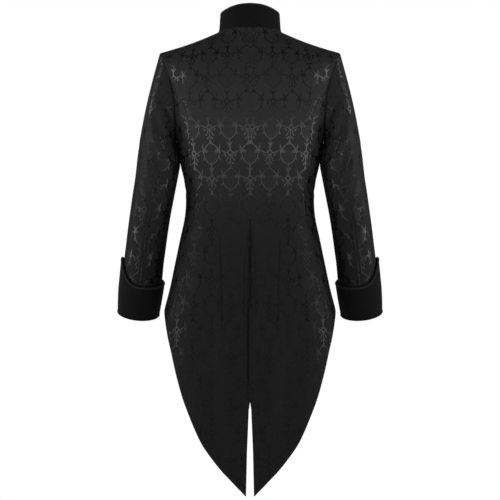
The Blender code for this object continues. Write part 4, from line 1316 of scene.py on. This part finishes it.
def collar_grid():
    """The collar's points and normals, from the neckline up."""
    ends = 180.0 - math.degrees(0.0006 / NECK_HALF)
    angles = -ends + 2 * ends * lines(0.46, 0.0042)
    share = lines(0.060, 0.0032, at=VELVET_ROLL["from_edge"])[:, None]
    p = neck_point(angles)[None] * np.ones((len(share), 1, 1))
    shrink = 1 - 0.035 * share
    x = p[..., 0] * shrink
    y = NECK_Y + (p[..., 1] - NECK_Y) * shrink + COLLAR_LEAN(np.abs(angles)) * share
    z = p[..., 2] + COLLAR_GAP + COLLAR_HEIGHT(np.abs(angles)) * share
    points = stack(x, y, z)
    return points, grid_normals(points, stack(0.0, NECK_Y, z))


def rolled(points, normals, sides, rise):
    """Points with the named edges turned in."""
    return points + normals * rise(edge_distance(points, sides))[..., None]


def cloth_piece(node, side, points, normals, measures, place, seams, armhole_edge):
    """One panel of damask: seam gaps and turned-in edges, then its wall."""
    points = flip(points, side)
    normals = flip(normals, side)
    outer = rolled(part_seams(points, seams), normals, ("left", "right", "top", "bottom"), ROLL_RISE)
    normals[armhole_edge] = armhole_normal(points[armhole_edge])
    slot = "damask_" + node.removeprefix("sleeve_")
    look = damask_look(slot, side if node.startswith("back") else 0)
    thing = shell(f"cloth_{node}", outer, normals, WALL, place, measures, [look, REVERSE])
    flat, area = cut_of(*measures, points)
    finish_piece(thing, node, flat, area)


def velvet_piece(node, side, points, normals, sides, colours, closed=False):
    """A cuff or the collar. Its panel sheet runs down from the upper edge."""
    outer = rolled(points, normals, sides, VELVET_RISE)
    whole = np.concatenate([points, points[:, :1]], axis=1) if closed else points
    measures = strip_measures(whole, 0)
    panel = (measures[0], measures[1][-1:] - measures[1])
    slot = f"velvet_{node}"
    looks = [velvet_look(slot, *colours)] * 2
    outer = flip(outer, side)
    normals = flip(normals, side)
    name = f"velvet_piece_{node}"
    thing = shell(name, outer, normals, VELVET_WALL, measures, panel, looks, closed)
    flat, area = cut_of(*measures, whole)
    finish_piece(thing, node, flat, area)


def build_side(side, word):
    """One half of the coat, without its collar."""
    points, normals, measures, place, last = back_panel(side)
    edge = (slice(0, last + 1), -1)
    cloth_piece(f"back_{word}", side, points, normals, measures, place, ("left", "right", "top"), edge)
    back_arm = points[edge]
    points, normals, measures, place = side_panel()
    edge = (0, slice(None))
    cloth_piece(f"side_{word}", side, points, normals, measures, place, ("left", "right", "top"), edge)
    side_arm = points[edge]
    points, normals, measures, place, last = front_panel(side)
    edge = (slice(0, last + 1), 0)
    cloth_piece(f"front_{word}", side, points, normals, measures, place, ("left", "top"), edge)
    front_arm = points[edge]
    armhole = np.concatenate([back_arm, side_arm[1:], front_arm[::-1][1:-1]])
    points, normals, under, level = sleeve_grid(armhole)
    edge = (0, slice(None))
    picks = {"under": list(range(under)), "top": list(range(under - 1, points.shape[1])) + [0]}
    for kind, shift in (("under", HALF_COLUMN), ("top", 0.0)):
        strip = points[:, picks[kind]]
        facing = normals[:, picks[kind]]
        measures = strip_measures(strip, level)
        place = (measures[0] + shift, measures[1] + 0.03)
        cloth_piece(f"sleeve_{kind}_{word}", side, strip, facing, measures, place, ("left", "right"), edge)
    velvet_piece(f"cuff_{word}", side, *cuff_grid(), ("top", "bottom"), CUFF_COLOURS, True)


BUTTON = {
    "radius": (0.0, 0.0030, 0.0056, 0.0066, 0.0074, 0.0083, 0.0089, 0.0090, 0.0088, 0.0080, 0.0),
    "rise": (0.0040, 0.0038, 0.0031, 0.0027, 0.0029, 0.0031, 0.0026, 0.0018, 0.0009, 0.0005, 0.0005),
}


def button(number):
    """A domed button with a raised rim, on the left forepart."""
    z = BUTTON_TOP_Z - BUTTON_STEP * (number - 1)
    at = np.array((180.0,))
    n = ring_normal(at, np.array((z,)))[0]
    base = ring(at, np.array((z,)))[0] + n * (LAP_LIFT + 0.0001)
    side = unit(np.cross((0.0, 0.0, 1.0), n))
    up = unit(np.cross(n, side))
    vertices = []
    faces = []
    for radius, rise in zip(BUTTON["radius"], BUTTON["rise"]):
        for k in range(BUTTON_SPOKES):
            a = 2 * math.pi * k / BUTTON_SPOKES
            vertices.append(tuple(base + side * radius * math.cos(a) + up * radius * math.sin(a) + n * rise))
    for level in range(len(BUTTON["radius"]) - 1):
        for k in range(BUTTON_SPOKES):
            a = level * BUTTON_SPOKES + k
            b = level * BUTTON_SPOKES + (k + 1) % BUTTON_SPOKES
            faces.append((a, b, b + BUTTON_SPOKES, a + BUTTON_SPOKES))
    mesh = bpy.data.meshes.new(f"dress_button_{number}")
    mesh.from_pydata(vertices, [], faces)
    mesh.update()
    mesh.shade_smooth()
    mesh.materials.append(button_look(f"button_{number}"))
    thing = add_object(mesh.name, mesh)
    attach(thing, "root")
    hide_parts(f"button_{number}")


def area_light(name, place, aim, size, power, spread):
    """A soft light. spread is how many degrees wide it throws."""
    data = bpy.data.lights.new(name, "AREA")
    data.shape = "RECTANGLE"
    data.size, data.size_y = size
    data.energy = power
    data.spread = math.radians(spread)
    thing = add_object(name, data)
    thing.location = place
    thing.rotation_euler = (Vector(aim) - Vector(place)).to_track_quat("-Z", "Y").to_euler()


def backdrop():
    """A white world that lights the coat only faintly."""
    world = bpy.data.worlds.new("studio")
    bpy.context.scene.world = world
    world.use_nodes = True
    tree = world.node_tree
    tree.nodes.clear()
    path = tree.nodes.new("ShaderNodeLightPath")
    seen = add_node(tree, "Background", {"Color": (1.0, 1.0, 1.0), "Strength": 1.0})
    fill = add_node(tree, "Background", {"Color": (1.0, 1.0, 1.0), "Strength": 0.06})
    mix = tree.nodes.new("ShaderNodeMixShader")
    out = tree.nodes.new("ShaderNodeOutputWorld")
    tree.links.new(path.outputs["Is Camera Ray"], mix.inputs[0])
    tree.links.new(fill.outputs[0], mix.inputs[1])
    tree.links.new(seen.outputs[0], mix.inputs[2])
    tree.links.new(mix.outputs[0], out.inputs["Surface"])


def floor_plate():
    """A plain pale floor, below the coat."""
    mesh = bpy.data.meshes.new("floor")
    corners = [(x * FLOOR_HALF, y * FLOOR_HALF, FLOOR_Z) for x, y in ((-1, -1), (1, -1), (1, 1), (-1, 1))]
    mesh.from_pydata(corners, [], [(0, 1, 2, 3)])
    look, tree, shader = new_look("floor")
    set_sockets(tree, shader, {"Base Color": (0.85, 0.85, 0.85), "Roughness": 0.7})
    mesh.materials.append(look)
    add_object("floor", mesh)


def lights():
    """Narrow strips that the middle of the back mirrors, and wide soft lights round it."""
    for turn in range(-60, 61, 20):
        a = math.radians(turn)
        place = (STRIP_REACH * math.sin(a), STRIP_AIM[1] + STRIP_REACH * math.cos(a), STRIP_Z)
        power = STRIP_POWER if abs(turn) < 50 else STRIP_SIDE_POWER
        area_light(f"low strip {turn}", place, STRIP_AIM, STRIP_SIZE, power, STRIP_SPREAD)
    for name, *rest in MIDDLE_LIGHTS:
        area_light(name, *rest)
    for side, word in ((1, "left"), (-1, "right")):
        for name, place, aim, *rest in SIDE_LIGHTS:
            place = (place[0] * side, *place[1:])
            area_light(f"{word} {name}", place, (aim[0] * side, *aim[1:]), *rest)


def add_camera():
    """Behind the coat, level with its middle."""
    data = bpy.data.cameras.new("camera")
    data.sensor_width = 36.0
    data.lens = CAMERA_LENS
    data.clip_end = 20.0
    camera = add_object("camera", data)
    camera.location = CAMERA_PLACE
    camera.rotation_euler = (math.pi / 2, 0.0, math.pi)
    bpy.context.scene.camera = camera


def main():
    for side, word in ((1, "left"), (-1, "right")):
        build_side(side, word)
    velvet_piece("collar", 1, *collar_grid(), ("top", "left", "right"), COLLAR_COLOURS)
    for number in range(1, BUTTONS + 1):
        button(number)
    bpy.context.scene.view_settings.view_transform = "Standard"
    backdrop()
    floor_plate()
    lights()
    add_camera()


main()
print("cuts", json.dumps(PANEL_CUTS))
